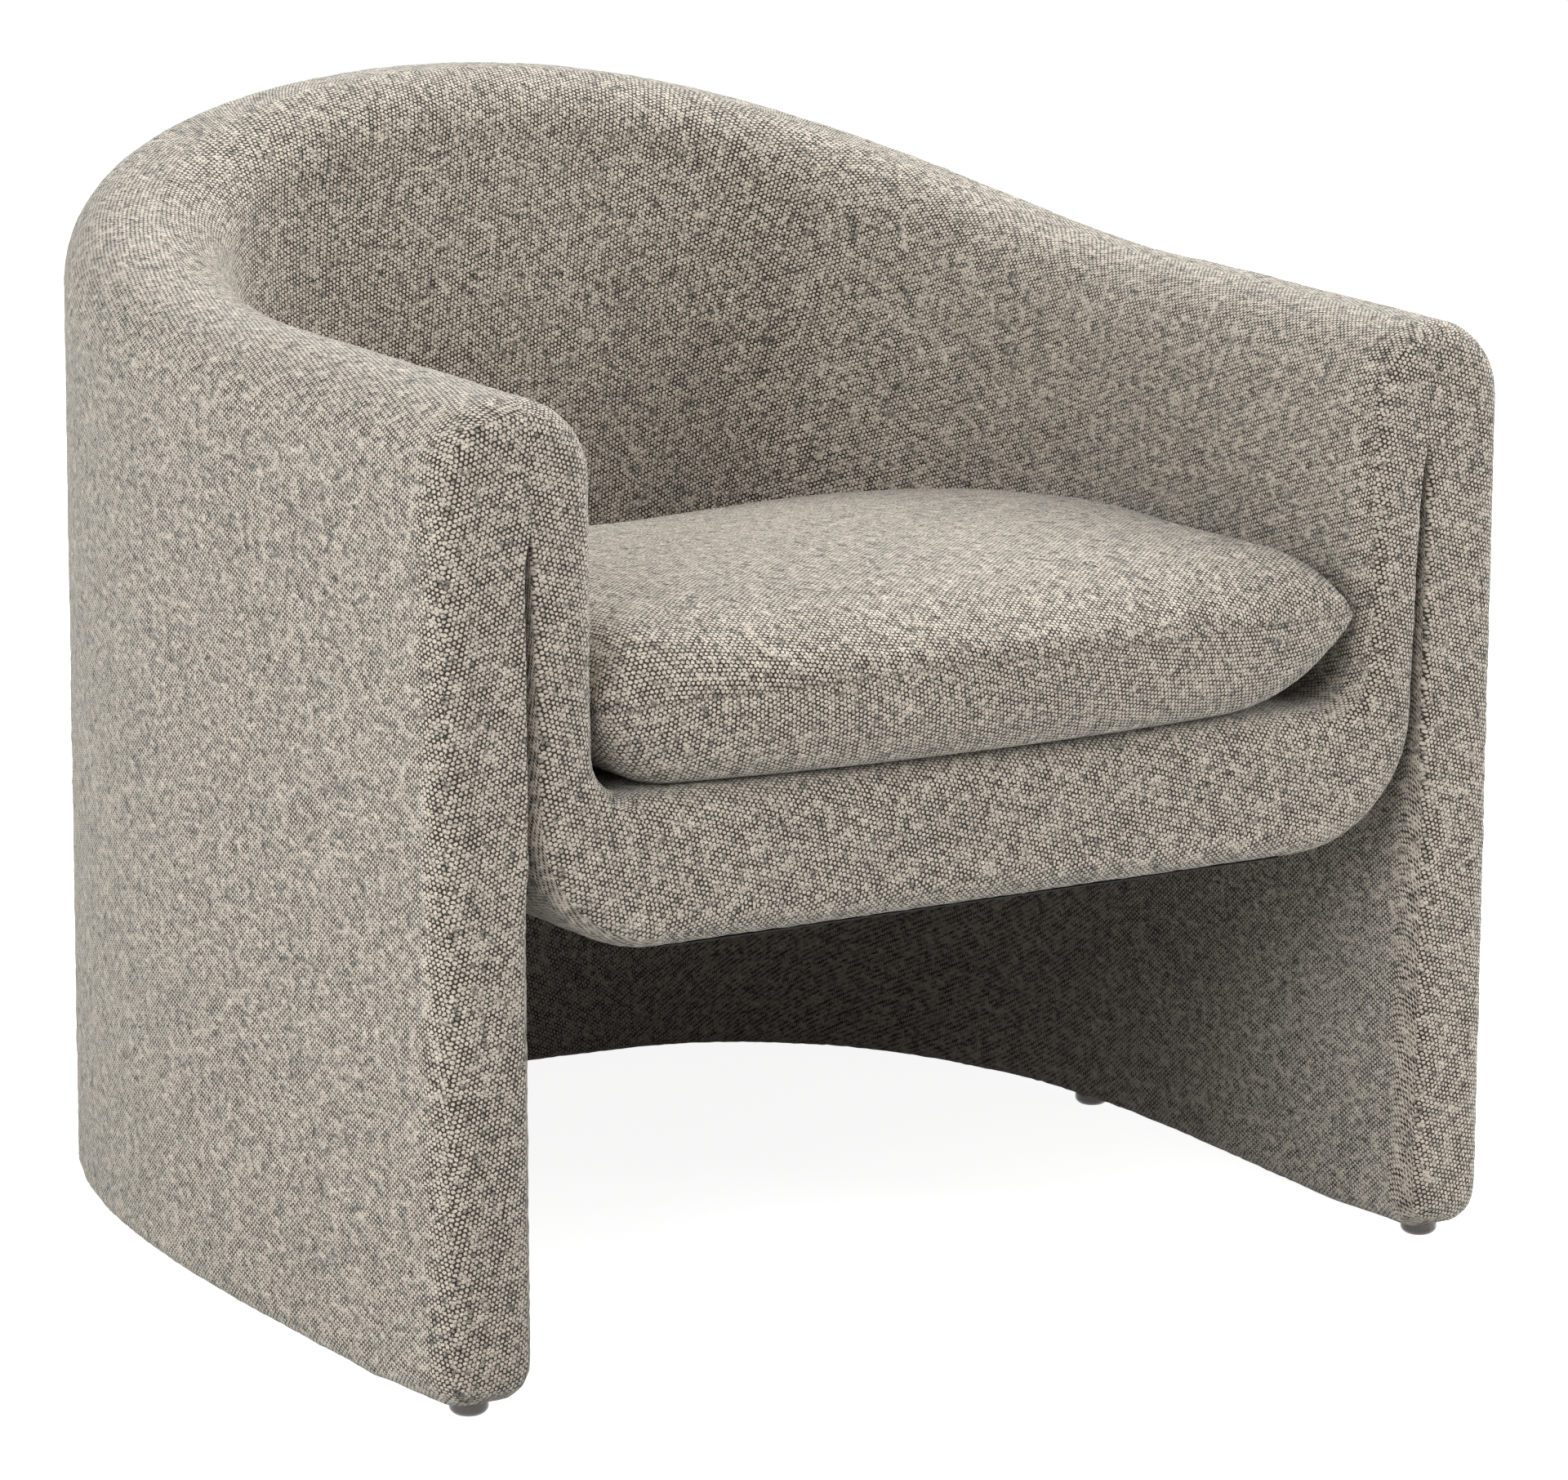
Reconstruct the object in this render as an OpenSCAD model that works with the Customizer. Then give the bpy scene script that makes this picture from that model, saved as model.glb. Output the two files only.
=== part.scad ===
// Upholstered tub chair: a bent outer wall that stands on glides, an inner tub with a sprung deck,
// and a loose knife-edge seat cushion. Millimetres, +Z up, the front faces -Y.
// The origin is on the floor, under the middle of the chair's bounding box. The plan is a U of stations
// from the right arm's front, round the back, to the left arm's front. Every upholstered or bent piece
// is a section set in from that U.

/* [Overall size] */
// Greatest width of the chair, where the arms start to turn into the back
chair_w = 800; // [760:5:840]
// Width across the front ends of the arms
front_w = 777; // [750:1:790]
// Depth from the front faces of the arms to the outside back
chair_d = 784; // [740:2:820]
// Length of the straight part of each arm
arm_l = 275; // [240:5:310]
// Fullness of the rounded back in plan, 2 being an ellipse
back_fullness = 2.9; // [2.5:0.1:3.2]
// Height of the rim at the front of the arms
arm_h = 612; // [580:2:650]
// Gentle rise of the rim along the straight part of the arms
arm_rise = 11; // [4:1:20]
// Height of the rim at the middle of the back
back_h = 740; // [700:5:780]

/* [Upholstered wall] */
// Thickness of the outer wall along the arms
wall_t = 63; // [60:1:72]
// Thickness of the outer wall at the back, above the seat
wall_back_t = 85; // [80:1:95]
// Thickness of the outer wall at its foot along the arms
wall_foot_side_t = 66; // [64:1:72]
// Thickness of the outer wall at the back, below the seat
wall_foot_t = 106; // [100:1:115]
// Radius of the broad roll along the rim
rim_r = 50; // [44:1:52]
// Height of the covered wall's lower edge above the floor
floor_gap = 9.5; // [8:0.5:12]
// Radius of the wall's lower edges
foot_r = 10; // [8:1:14]
// Radius of the front edges of the wall and the tub
front_r = 21; // [16:1:24]
// Half width of the groove between wall and tub at the front
groove_w = 6.5; // [4:0.5:10]
// Distance from the rim down to the start of that groove
groove_drop = 68; // [56:1:84]

/* [Inner tub] */
// Thickness of wall and tub together along the arms
arm_t = 110; // [106:1:118]
// Thickness of wall and tub together at the rim of the back
back_rim_t = 125; // [120:1:140]
// Thickness of wall and tub together at the back, at seat level
back_seat_t = 190; // [175:1:205]
// Height of the tub's underside above the floor
tub_bottom_z = 275; // [255:1:290]
// Height of the deck that the loose cushion lies on
deck_z = 370; // [366:1:385]
// Radius of the tub's lower outer corners
tub_corner_r = 90; // [84:1:96]
// Radius of the fillet between the deck and the inside of the arms
deck_fillet_r = 28; // [20:1:34]

/* [Loose cushion] */
// Crown height of the cushion above the deck
cushion_t = 102; // [90:1:120]
// Height of the knife-edge seam above the deck at the middle of the front
seam_h = 53; // [44:1:60]
// Extra height of the seam at the pinched front corners
tip_lift = 7; // [0:1:12]
// How far the middle of the front edge bows out past the corners
front_bow = 28; // [10:1:36]
// Gap between the cushion and the inside of the tub
cushion_clear = 3; // [2:0.5:6]
// How far the sides pull in between the corners
side_draw = 4; // [0:0.5:8]

/* [Materials and frame] */
// Thickness of the boucle cover
cover_t = 2.5; // [2:0.25:3]
// Thickness of the foam between the cover and the outer boards
pad_t = 14; // [12:0.5:15]
// Thickness of the bent fibreboard skins
board_t = 4; // [3:0.5:4]
// Thickness of the plywood plates
ply_t = 18; // [15:1:21]
// Width of a wall post along the wall
post_w = 40; // [30:1:44]
// Thickness of the front rail
rail_t = 18; // [16:1:25]
// Thickness of the seat ring
ring_t = 36; // [30:1:40]
// Thickness of the ring that carries the inner panel
panel_ring_t = 12; // [9:1:13]
// Thickness of the bent inner panel
panel_t = 5; // [4:0.5:6]

/* [Springs and fasteners] */
// Number of sinuous springs
spring_count = 6; // [4:1:7]
// Diameter of the spring wire
wire_d = 3.8; // [3:0.1:4]
// Distance between the outer bends of a spring
spring_w = 46; // [40:1:50]
// Number of half loops in a spring
spring_bends = 18; // [14:2:22]
// Diameter of the glides
glide_d = 24; // [20:1:26]
// Diameter of the flat under a glide
glide_flat_d = 15; // [12:1:18]
// Diameter of the glide screws
glide_screw_d = 4; // [3:0.5:5]
// Length of the glide screws
glide_screw_l = 24; // [18:1:26]
// Diameter of the bolts that join the tub to the wall
bolt_d = 8; // [6:1:8]

/* [Hidden] */

// Clearance between pieces that lie against each other
seat_gap = 0.3;
// Overrun of every cut past the face that it opens
cut = 1;
// Share of the half rim over which the arm runs nearly level
level_share = 2 / 7;
// Facets in a quarter of the rounded back, round the front edges, along an arm, round the lower edges
// and round the rim
quarter_steps = 12;
round_steps = 3;
side_steps = 2;
corner_steps = 2;
rim_steps = 4;
// Share of the arm's straight part at the frame's last corner before the turn
frame_arm_share = 0.95;
// Height over which the groove fades out under the rim
groove_fade = 20;
// Shares of the half rim between which the wall's foot thickens towards the back
foot_start_share = 0.33;
foot_full_share = 0.76;
// Share of the half rim over which the lower edges sharpen behind the rounder front corners, and how
// much larger than the front edges those corners are
corner_blend_share = 0.09;
corner_ease = 3;
// Where the wall's inside steps back for the tub, above the tub's underside
ledge_low = 14;
ledge_top = 62;
// Distance from the tub's underside down to the ledge plate
ledge_plate_drop = 34;
// Distance from the rim down to the top rail
top_rail_drop = 64;
// Width of the tub's cover that is turned under
hem_w = 17;
// Height of the fibreboard skins above the underside of the base plate
board_lift = 4;
// Distance from the front plane back to the pinched corners of the cushion
tip_setback = 6;

half_w = chair_w / 2;
// The bowed cushion stands out past the arms, and counts in the depth of the bounding box
y_front = -(chair_d - (front_bow - tip_setback)) / 2;
y_back = y_front + chair_d;
y_turn = y_front + arm_l;
turn_d = y_back - y_turn;
turn_step = 90 / quarter_steps;
pad_in = cover_t + seat_gap;
frame_out = cover_t + pad_t + seat_gap;
frame_in = frame_out + board_t + seat_gap;
base_z = floor_gap + cover_t + seat_gap;
board_z = base_z + board_lift;
ledge_plate_z = tub_bottom_z - ledge_plate_drop;

// Plan of the outer wall

function lerp(a, b, s) = a + (b - a) * s;
function clamp(s) = min(1, max(0, s));
function smooth(s) = let (c = clamp(s)) c * c * (3 - 2 * c);
function flip(v) = [for (i = [len(v) - 1 : -1 : 0]) v[i]];

// Radius of the rounded back at an angle from the +X side, round the point where the arms turn
function turn_r(a) =
    pow(pow(abs(cos(a)) / half_w, back_fullness) + pow(abs(sin(a)) / turn_d, back_fullness),
        -1 / back_fullness);
function turn_point(a) = [turn_r(a) * cos(a), y_turn + turn_r(a) * sin(a)];
function turn_normal(a) = let (
        x = turn_r(a) * cos(a) / half_w,
        y = turn_r(a) * sin(a) / turn_d,
        g = [sign(x) * pow(abs(x), back_fullness - 1) / half_w, pow(abs(y), back_fullness - 1) / turn_d])
    -g / norm(g);
function arm_x(y) = lerp(front_w / 2, half_w, (y - y_front) / arm_l);

// Length of the outline from the turn to each angle, used to lay the rim's rise along the wall
turn_lengths = [for (i = 0, s = 0; i <= quarter_steps;
    s = s + norm(turn_point((i + 1) * turn_step) - turn_point(i * turn_step)), i = i + 1) s];
half_length = arm_l + turn_lengths[quarter_steps];
function turn_length(a) = let (
        q = (a > 90 ? 180 - a : a) / turn_step,
        i = min(quarter_steps - 1, floor(q)))
    lerp(turn_lengths[i], turn_lengths[i + 1], q - i);
function arm_share(y) = (y - y_front) / half_length;
function turn_share(a) = (arm_l + turn_length(a)) / half_length;
function rise(u) = smooth((u - level_share) / (1 - level_share));

// Height of the rim and thickness of the wall and the tub at a share of the half rim's length
function rim_z(u) = arm_h + arm_rise * clamp(u / level_share) + (back_h - arm_h - arm_rise) * rise(u);
function upper_t(u) = lerp(wall_t, wall_back_t, rise(u));
function lower_t(u) = lerp(wall_foot_side_t, wall_foot_t,
    smooth((u - foot_start_share) / (foot_full_share - foot_start_share)));
function foot_radius(u) = lerp(front_r + corner_ease, foot_r, clamp(u / corner_blend_share));
function rim_t(u) = lerp(arm_t, back_rim_t, rise(u));
function seat_t(u) = lerp(arm_t, back_seat_t, rise(u));

// A station is [point on the outline, inward direction, share of the half rim's length, inset]
function arm_station(y, side, e) = [[side * arm_x(y), y], [-side, 0], arm_share(y), e];
function turn_station(a, e) = [turn_point(a), turn_normal(a), turn_share(a), e];
function arm_end(side, d) = [for (i = [round_steps : -1 : 0])
    let (a = 90 * i / round_steps, r = front_r - d)
    arm_station(y_front + front_r - r * sin(a), side, front_r - r * cos(a))];
function arm_run(side, d) = [for (i = [1 : side_steps])
    arm_station(lerp(y_front + front_r, y_turn, i / (side_steps + 1)), side, d)];
function turn_run(d) = [for (i = [0 : 2 * quarter_steps]) turn_station(i * turn_step, d)];

// Stations of an upholstered form, whose front edges are rounded, d under the surface
function rounded_run(d) = concat(arm_end(1, d), arm_run(1, d), turn_run(d),
    flip(arm_run(-1, d)), flip(arm_end(-1, d)));
// Stations of the frame, whose ends are cut square at a given distance behind the front. Its corners lie
// half a facet away from those of the coverings.
function frame_arm(side, setback) = [arm_station(y_front + setback, side, 0),
    arm_station(lerp(y_front, y_turn, frame_arm_share), side, 0)];
function frame_turn(i) = turn_station((i + 1 / 2) * turn_step, 0);
function frame_run(setback) = concat(frame_arm(1, setback),
    [for (i = [0 : 2 * quarter_steps - 1]) frame_turn(i)], flip(frame_arm(-1, setback)));
function along(setback) = [for (st = frame_run(setback)) st[2]];
function placed(st, q) = [st[0][0] + q[0] * st[1][0], st[0][1] + q[0] * st[1][1], q[1]];

// Sections, as points [distance in from the outline, height, share of the front rounding taken]

function arc(c, r, a0, a1, steps, w) = [for (i = [0 : steps])
    let (a = lerp(a0, a1, i / steps)) [c[0] + r * cos(a), c[1] + r * sin(a), w]];
function crown_z(n, u) = let (inner = n - (rim_t(u) - rim_r))
    inner > 0 ? rim_z(u) - rim_r + sqrt(max(0, rim_r * rim_r - inner * inner)) : rim_z(u);
groove_share = groove_w / front_r;

function wall_loop(u) = let (
        t = upper_t(u) - seat_gap / 2,
        f = lower_t(u),
        r = foot_radius(u),
        z = rim_z(u))
    concat(
        arc([f - r, floor_gap + r], r, 0, -90, corner_steps, 1),
        arc([r, floor_gap + r], r, -90, -180, corner_steps, 1),
        arc([rim_r, z - rim_r], rim_r, 180, 90, rim_steps, 1),
        [[t, crown_z(t, u), 0],
         [t, z - groove_drop + groove_fade, 0],
         [t, z - groove_drop, groove_share],
         [t, tub_bottom_z + ledge_top, groove_share],
         [f, tub_bottom_z + ledge_low, 1]]);

// The tub's section runs from its underside up the outside, over the rim and down to the deck. Its first
// and last points only give the direction of the flat underside and deck.
function tub_loop(u) = let (
        t = upper_t(u) + seat_gap / 2,
        s = seat_t(u),
        r = rim_t(u),
        z = rim_z(u),
        far = s + deck_fillet_r + tub_corner_r)
    concat(
        [[far, tub_bottom_z, 0]],
        arc([t + tub_corner_r, tub_bottom_z + tub_corner_r], tub_corner_r, -90, -180, rim_steps, 1),
        [[t, z - groove_drop, groove_share],
         [t, z - groove_drop + groove_fade, 0],
         [t, crown_z(t, u), 0]],
        arc([r - rim_r, z - rim_r], rim_r, 75, 0, rim_steps - 1, 1),
        arc([s + deck_fillet_r, deck_z + deck_fillet_r], deck_fillet_r, 180, 270, corner_steps + 1, 1),
        [[far, deck_z, 0]]);

// Moves a loop inwards by e, and by d where the front rounding isn't taken
function side_normal(p, q) = let (v = [q[0] - p[0], q[1] - p[1]]) [v[1], -v[0]] / norm(v);
function inset_loop(loop, e, d) = [for (i = [0 : len(loop) - 1])
    let (
        c = len(loop),
        p = loop[i],
        a = side_normal(loop[(i + c - 1) % c], p),
        b = side_normal(p, loop[(i + 1) % c]),
        m = (a + b) / (1 + a * b))
    [p[0] + m[0] * (d + (e - d) * p[2]), p[1] + m[1] * e]];

// Solid swept through the stations, one closed loop at each
module swept(run, loops) {
    c = len(loops[0]);
    k = len(run);
    polyhedron(
        points = [for (i = [0 : k - 1]) for (q = loops[i]) placed(run[i], q)],
        faces = concat(
            [flip([for (j = [0 : c - 1]) j])],
            [[for (j = [0 : c - 1]) (k - 1) * c + j]],
            [for (i = [0 : k - 2]) for (j = [0 : c - 1]) let (n = (j + 1) % c)
                [i * c + j, i * c + n, (i + 1) * c + n]],
            [for (i = [0 : k - 2]) for (j = [0 : c - 1]) let (n = (j + 1) % c)
                [i * c + j, (i + 1) * c + n, (i + 1) * c + j]]),
        convexity = 8);
}

module wall_form(d) {
    run = rounded_run(d);
    swept(run, [for (st = run) inset_loop(wall_loop(st[2]), st[3], d)]);
}

// The tub is one closed form: the arms, the back, the front band and the seat slab between them. Point j
// of a section lies across the arm from point c - 1 - j, and the two arms' sections face each other.
module tub_form(d) {
    run = rounded_run(d);
    sections = [for (st = run) let (q = inset_loop(tub_loop(st[2]), st[3], d))
        [for (j = [1 : len(q) - 2]) q[j]]];
    c = len(sections[0]);
    k = len(run);
    left = (k - 1) * c;
    function across(j, i) = [i * c + j, (i + 1) * c + j, (k - 2 - i) * c + j, (k - 1 - i) * c + j];
    function round_back(j) = [for (i = [round_steps : k - 1 - round_steps]) i * c + j];
    polyhedron(
        points = [for (i = [0 : k - 1]) for (q = sections[i]) placed(run[i], q)],
        faces = concat(
            [for (j = [0 : c / 2 - 2]) [c - 1 - j, c - 2 - j, j + 1, j]],
            [for (j = [0 : c / 2 - 2]) [left + j, left + j + 1, left + c - 2 - j, left + c - 1 - j]],
            [[0, left, left + c - 1, c - 1]],
            [for (i = [0 : k - 2]) for (j = [0 : c - 2]) [i * c + j, i * c + j + 1, (i + 1) * c + j + 1]],
            [for (i = [0 : k - 2]) for (j = [0 : c - 2]) [i * c + j, (i + 1) * c + j + 1, (i + 1) * c + j]],
            [for (i = [0 : round_steps - 1]) across(0, i)],
            [for (i = [0 : round_steps - 1]) flip(across(c - 1, i))],
            [round_back(0)],
            [flip(round_back(c - 1))]),
        convexity = 8);
}

// Band between two distances from the outline and two heights, each given per station
module band(setback, n0, n1, z0, z1) {
    run = frame_run(setback);
    swept(run, [for (i = [0 : len(run) - 1])
        [[n1[i], z0[i]], [n0[i], z0[i]], [n0[i], z1[i]], [n1[i], z1[i]]]]);
}

// Flat ring in plan between two distances from the outline, and the plan inside one distance
function side_line(setback, n) = let (run = frame_run(setback))
    [for (i = [0 : len(run) - 1]) let (q = placed(run[i], [n[i], 0])) [q[0], q[1]]];
module ring_plan(setback, n0, n1) {
    polygon(concat(side_line(setback, n0), flip(side_line(setback, n1))));
}
module inner_plan(setback, n) {
    polygon(side_line(setback, n));
}

module both_sides() {
    children();
    mirror([1, 0, 0]) children();
}

// Outer wall: plates, posts and rail between two bent skins

wall_setback = frame_out;
// Posts along the right arm, as shares of its straight part, and round the back, by facet of the frame
post_arm_shares = [0.16, 0.5, 0.84];
post_facets = [1, 4, 7, 9];

// A seat is [point on the frame's outer face, inward direction, share at the middle, least share]
function seat_between(a, b, s) = let (
        p = placed(a, [frame_in, 0]),
        q = placed(b, [frame_in, 0]),
        v = (q - p) / norm(q - p))
    [lerp(p, q, s), [-v[1], v[0]], lerp(a[2], b[2], s), min(a[2], b[2])];
function arm_seat(s) = seat_between(arm_station(y_front, 1, 0), arm_station(y_turn, 1, 0), s);
function facet_seat(i) = seat_between(frame_turn(i), frame_turn(i + 1), 1 / 2);
post_seats = concat([for (s = post_arm_shares) arm_seat(s)], [for (i = post_facets) facet_seat(i)]);

// Puts a shape at a seat, with X into the tub and Y along the wall
module at_seat(seat, z) {
    translate([seat[0][0], seat[0][1], z]) rotate([0, 0, atan2(seat[1][1], seat[1][0])]) children();
}
function post_depth(t) = t - 2 * frame_in - seat_gap;
module post(seat, depth, z0, z1) {
    at_seat(seat, z0) translate([0, -post_w / 2, 0]) cube([depth, post_w, z1 - z0]);
}

module base_plate() {
    // The inner skin stands on this plate, which keeps clear of the rounded lower corners
    u = along(front_r);
    color("burlywood") difference() {
        translate([0, 0, base_z]) linear_extrude(ply_t)
            ring_plan(front_r, [for (s = u) max(frame_in, foot_radius(s))],
                [for (s = u) lower_t(s) - max(frame_out, foot_radius(s))]);
        at_glides() translate([0, 0, base_z - cut])
            cylinder(d = glide_screw_d + 2 * seat_gap, h = ply_t + 2 * cut, $fn = 24);
    }
}

module ledge_plate() {
    u = along(wall_setback);
    color("burlywood") translate([0, 0, ledge_plate_z]) linear_extrude(ply_t)
        ring_plan(wall_setback, [for (s = u) frame_in], [for (s = u) lower_t(s) - frame_in]);
}

module lower_posts() {
    color("tan") both_sides() for (seat = post_seats)
        post(seat, post_depth(lower_t(seat[3])), base_z + ply_t, ledge_plate_z);
}

module upper_posts() {
    u = along(wall_setback - cut);
    color("tan") difference() {
        both_sides() for (seat = post_seats)
            post(seat, post_depth(upper_t(seat[3])), ledge_plate_z + ply_t, rim_z(seat[2]) - top_rail_drop);
        // The posts are cut to the slope of the top rail's underside
        band(wall_setback - cut,
            [for (s = u) frame_in - cut], [for (s = u) upper_t(s) - frame_in + cut],
            [for (s = u) rim_z(s) - top_rail_drop - ply_t - seat_gap], [for (s = u) rim_z(s)]);
        both_sides() for (seat = bolt_seats)
            bolt_part(seat, insert_x(seat) - seat_gap, insert_l + seat_gap + cut, insert_d + 2 * seat_gap);
    }
}

module top_rail() {
    u = along(wall_setback);
    color("burlywood") band(wall_setback,
        [for (s = u) frame_in], [for (s = u) upper_t(s) - frame_in],
        [for (s = u) rim_z(s) - top_rail_drop - ply_t], [for (s = u) rim_z(s) - top_rail_drop]);
}

module outer_board() {
    u = along(wall_setback);
    color("sienna") band(wall_setback,
        [for (s = u) frame_out], [for (s = u) frame_out + board_t],
        [for (s = u) board_z], [for (s = u) rim_z(s) - top_rail_drop]);
}

module inner_board() {
    u = along(wall_setback);
    color("sienna") translate([0, 0, base_z + ply_t]) linear_extrude(ledge_plate_z - base_z)
        ring_plan(wall_setback, [for (s = u) lower_t(s) - frame_out - board_t],
            [for (s = u) lower_t(s) - frame_out]);
}

// Room for the wall's frame, below the ledge and above it
module wall_cavity() {
    u = along(wall_setback - seat_gap);
    band(wall_setback - seat_gap,
        [for (s = u) frame_out - seat_gap], [for (s = u) lower_t(s) - frame_out + seat_gap],
        [for (s = u) 0], [for (s = u) ledge_plate_z + ply_t + seat_gap]);
    band(wall_setback - seat_gap,
        [for (s = u) frame_out - seat_gap], [for (s = u) upper_t(s) - frame_in + seat_gap],
        [for (s = u) ledge_plate_z], [for (s = u) rim_z(s) - top_rail_drop + seat_gap]);
}

module wall_foam() {
    color("khaki") difference() {
        wall_form(pad_in);
        wall_cavity();
        punched_holes();
    }
}

module wall_cover() {
    // The cover's two edges meet under the base plate
    color([0.70, 0.67, 0.62]) difference() {
        wall_form(0);
        wall_form(cover_t);
        at_glides() cylinder(d = glide_screw_d + 2 * punch_gap, h = base_z, $fn = 8);
        punched_holes();
    }
}

// Glides, screwed to the base plate through the turned-under cover

glide_front_setback = 31;
// Places of the side and back glides, as shares of the quarter turn from the arm to the middle of the back
glide_side_share = 0.208;
glide_back_share = 0.773;
// Places of the front, side and back glides across the foot, as shares of its thickness
glide_in_shares = [0.5, 0.69, 0.48];
// Height over which the glide's foot is rounded, and depth of the screw's head in it
glide_round_share = 1 / 2;
glide_round_steps = 4;

glide_stations = [arm_station(y_front + glide_front_setback, 1, 0),
    turn_station(90 * glide_side_share, 0), turn_station(90 * glide_back_share, 0)];
glide_places = [for (i = [0 : len(glide_stations) - 1]) let (st = glide_stations[i])
    placed(st, [lower_t(st[2]) * glide_in_shares[i], 0])];
glide_top = floor_gap - seat_gap;
screw_z = floor_gap * glide_round_share;

module at_glides() {
    both_sides() for (p = glide_places) translate([p[0], p[1], 0]) children();
}

module glides() {
    flat_r = glide_flat_d / 2;
    bore_r = glide_screw_d / 2 + seat_gap;
    color([0.12, 0.10, 0.09]) at_glides() rotate_extrude($fn = 32) polygon(concat(
        [[0, 0]],
        [for (i = [0 : glide_round_steps]) let (a = 90 * i / glide_round_steps)
            [lerp(flat_r, glide_d / 2, sin(a)), floor_gap * glide_round_share * (1 - cos(a))]],
        [[glide_d / 2, glide_top], [bore_r, glide_top], [bore_r, screw_z - seat_gap],
         [0, screw_z - seat_gap]]));
}

module glide_screws() {
    color("silver") at_glides() translate([0, 0, screw_z])
        cylinder(d = glide_screw_d, h = glide_screw_l, $fn = 24);
}

// Inner tub: a seat ring with a front rail, a bent panel and a sprung deck

// Height of the seat ring above the tub's underside, and its edges, measured from the wall's inside
ring_lift = 25;
ring_out = 45;
ring_in = 97;
panel_ring_out = 14.5;
panel_ring_in = 58;
// Foam under and beside the front rail
rail_margin = 7;
// Length of the corner blocks along the rail
block_w = 60;
clip_l = 14;
clip_w = 20;
clip_t = 1.5;
// Distance from the edge of the rail or the ring to a clip
clip_edge = 2;
cloth_t = 1.5;
// How far the deck reaches in from the foot of the back
deck_reach = 30;

ring_z = tub_bottom_z + ring_lift;
ring_top = ring_z + ring_t;
tub_setback = front_r + seat_gap;
rail_back = tub_setback + rail_t;
clip_top = ring_top + wire_d + 2 * seat_gap + clip_t;
cloth_z = clip_top + seat_gap;
deck_foam_z = cloth_z + cloth_t + seat_gap;

module seat_ring() {
    u = along(rail_back);
    color("burlywood") difference() {
        translate([0, 0, ring_z]) linear_extrude(ring_t)
            ring_plan(rail_back, [for (s = u) upper_t(s) + ring_out], [for (s = u) upper_t(s) + ring_in]);
        both_sides() for (seat = bolt_seats) {
            bolt_part(seat, 0, ring_face(seat) + cut, bolt_d + 2 * seat_gap);
            bolt_part(seat, ring_face(seat), ring_in, washer_d + 2 * seat_gap);
        }
    }
}

// Outline of the front rail seen from the front, with the tub's lower corners
rail_round_steps = 8;
module rail_profile(gap) {
    c = [front_w / 2 - wall_t - tub_corner_r, tub_bottom_z + tub_corner_r];
    right = arc(c, tub_corner_r - rail_margin + gap, -90, 0, rail_round_steps, 0);
    intersection() {
        polygon(concat([for (p = right) [p[0], p[1]]], flip([for (p = right) [-p[0], p[1]]])));
        translate([-half_w, 0]) square([chair_w, ring_top + gap]);
    }
}

module front_rail() {
    color("burlywood") translate([0, y_front + rail_back, 0]) rotate([90, 0, 0]) linear_extrude(rail_t)
        rail_profile(0);
}

module corner_blocks() {
    y = y_front + rail_back + seat_gap;
    x = min(arm_x(y), arm_x(y + block_w)) - wall_t - ring_in - seat_gap;
    color("tan") both_sides() translate([x, y, ring_z])
        linear_extrude(ring_t) polygon([[0, 0], [0, block_w], [-block_w, 0]]);
}

module panel_ring() {
    u = along(tub_setback);
    color("burlywood") translate([0, 0, ring_top]) linear_extrude(panel_ring_t)
        ring_plan(tub_setback, [for (s = u) upper_t(s) + panel_ring_out],
            [for (s = u) upper_t(s) + panel_ring_in]);
}

module inner_panel() {
    u = along(tub_setback);
    color("sienna") band(tub_setback,
        [for (s = u) upper_t(s) + panel_ring_out], [for (s = u) upper_t(s) + panel_ring_out + panel_t],
        [for (s = u) ring_top + panel_ring_t], [for (s = u) rim_z(s) - top_rail_drop]);
}

// Springs run from the front rail to the back of the seat ring, each held by a clip at both ends

spring_pitch = 2 * (front_w / 2 - wall_t - ring_in) / (spring_count + 1);
spring_lead = 2 * rail_t;
spring_front_y = y_front + tub_setback + clip_edge;
function spring_x(i) = (i - (spring_count - 1) / 2) * spring_pitch;
ring_inside = [for (i = [0 : quarter_steps - 1]) let (st = frame_turn(i),
    p = placed(st, [upper_t(st[2]) + ring_in, 0])) [p[0], p[1]]];
function spring_back_y(x) = lookup(abs(x), ring_inside) + clip_edge + clip_l;

module spring_plan(back_y) {
    run_l = back_y - spring_front_y - 2 * spring_lead;
    pitch = run_l / spring_bends;
    bend_r = pitch / 2;
    arm = spring_w / 2 - bend_r - wire_d / 2;
    first_y = spring_front_y + spring_lead;
    for (i = [0 : spring_bends - 1]) translate([(i % 2 == 0 ? 1 : -1) * arm, first_y + (i + 1 / 2) * pitch])
        mirror([i % 2, 0]) difference() {
            circle(r = bend_r + wire_d / 2, $fn = 24);
            circle(r = bend_r - wire_d / 2, $fn = 24);
            translate([-spring_w - seat_gap, -spring_w / 2]) square(spring_w);
        }
    for (i = [1 : spring_bends - 1])
        translate([-arm, first_y + i * pitch - wire_d / 2]) square([2 * arm, wire_d]);
    // The ends turn in to the middle and run out to the clips
    translate([-wire_d / 2, first_y - wire_d / 2]) square([arm + wire_d / 2, wire_d]);
    translate([-arm, first_y + run_l - wire_d / 2]) square([arm + wire_d / 2, wire_d]);
    translate([-wire_d / 2, spring_front_y]) square([wire_d, spring_lead]);
    translate([-wire_d / 2, first_y + run_l]) square([wire_d, spring_lead]);
}

module sinuous_springs() {
    color("dimgray") for (i = [0 : spring_count - 1]) translate([spring_x(i), 0, ring_top + seat_gap])
        linear_extrude(wire_d) spring_plan(spring_back_y(spring_x(i)));
}

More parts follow.
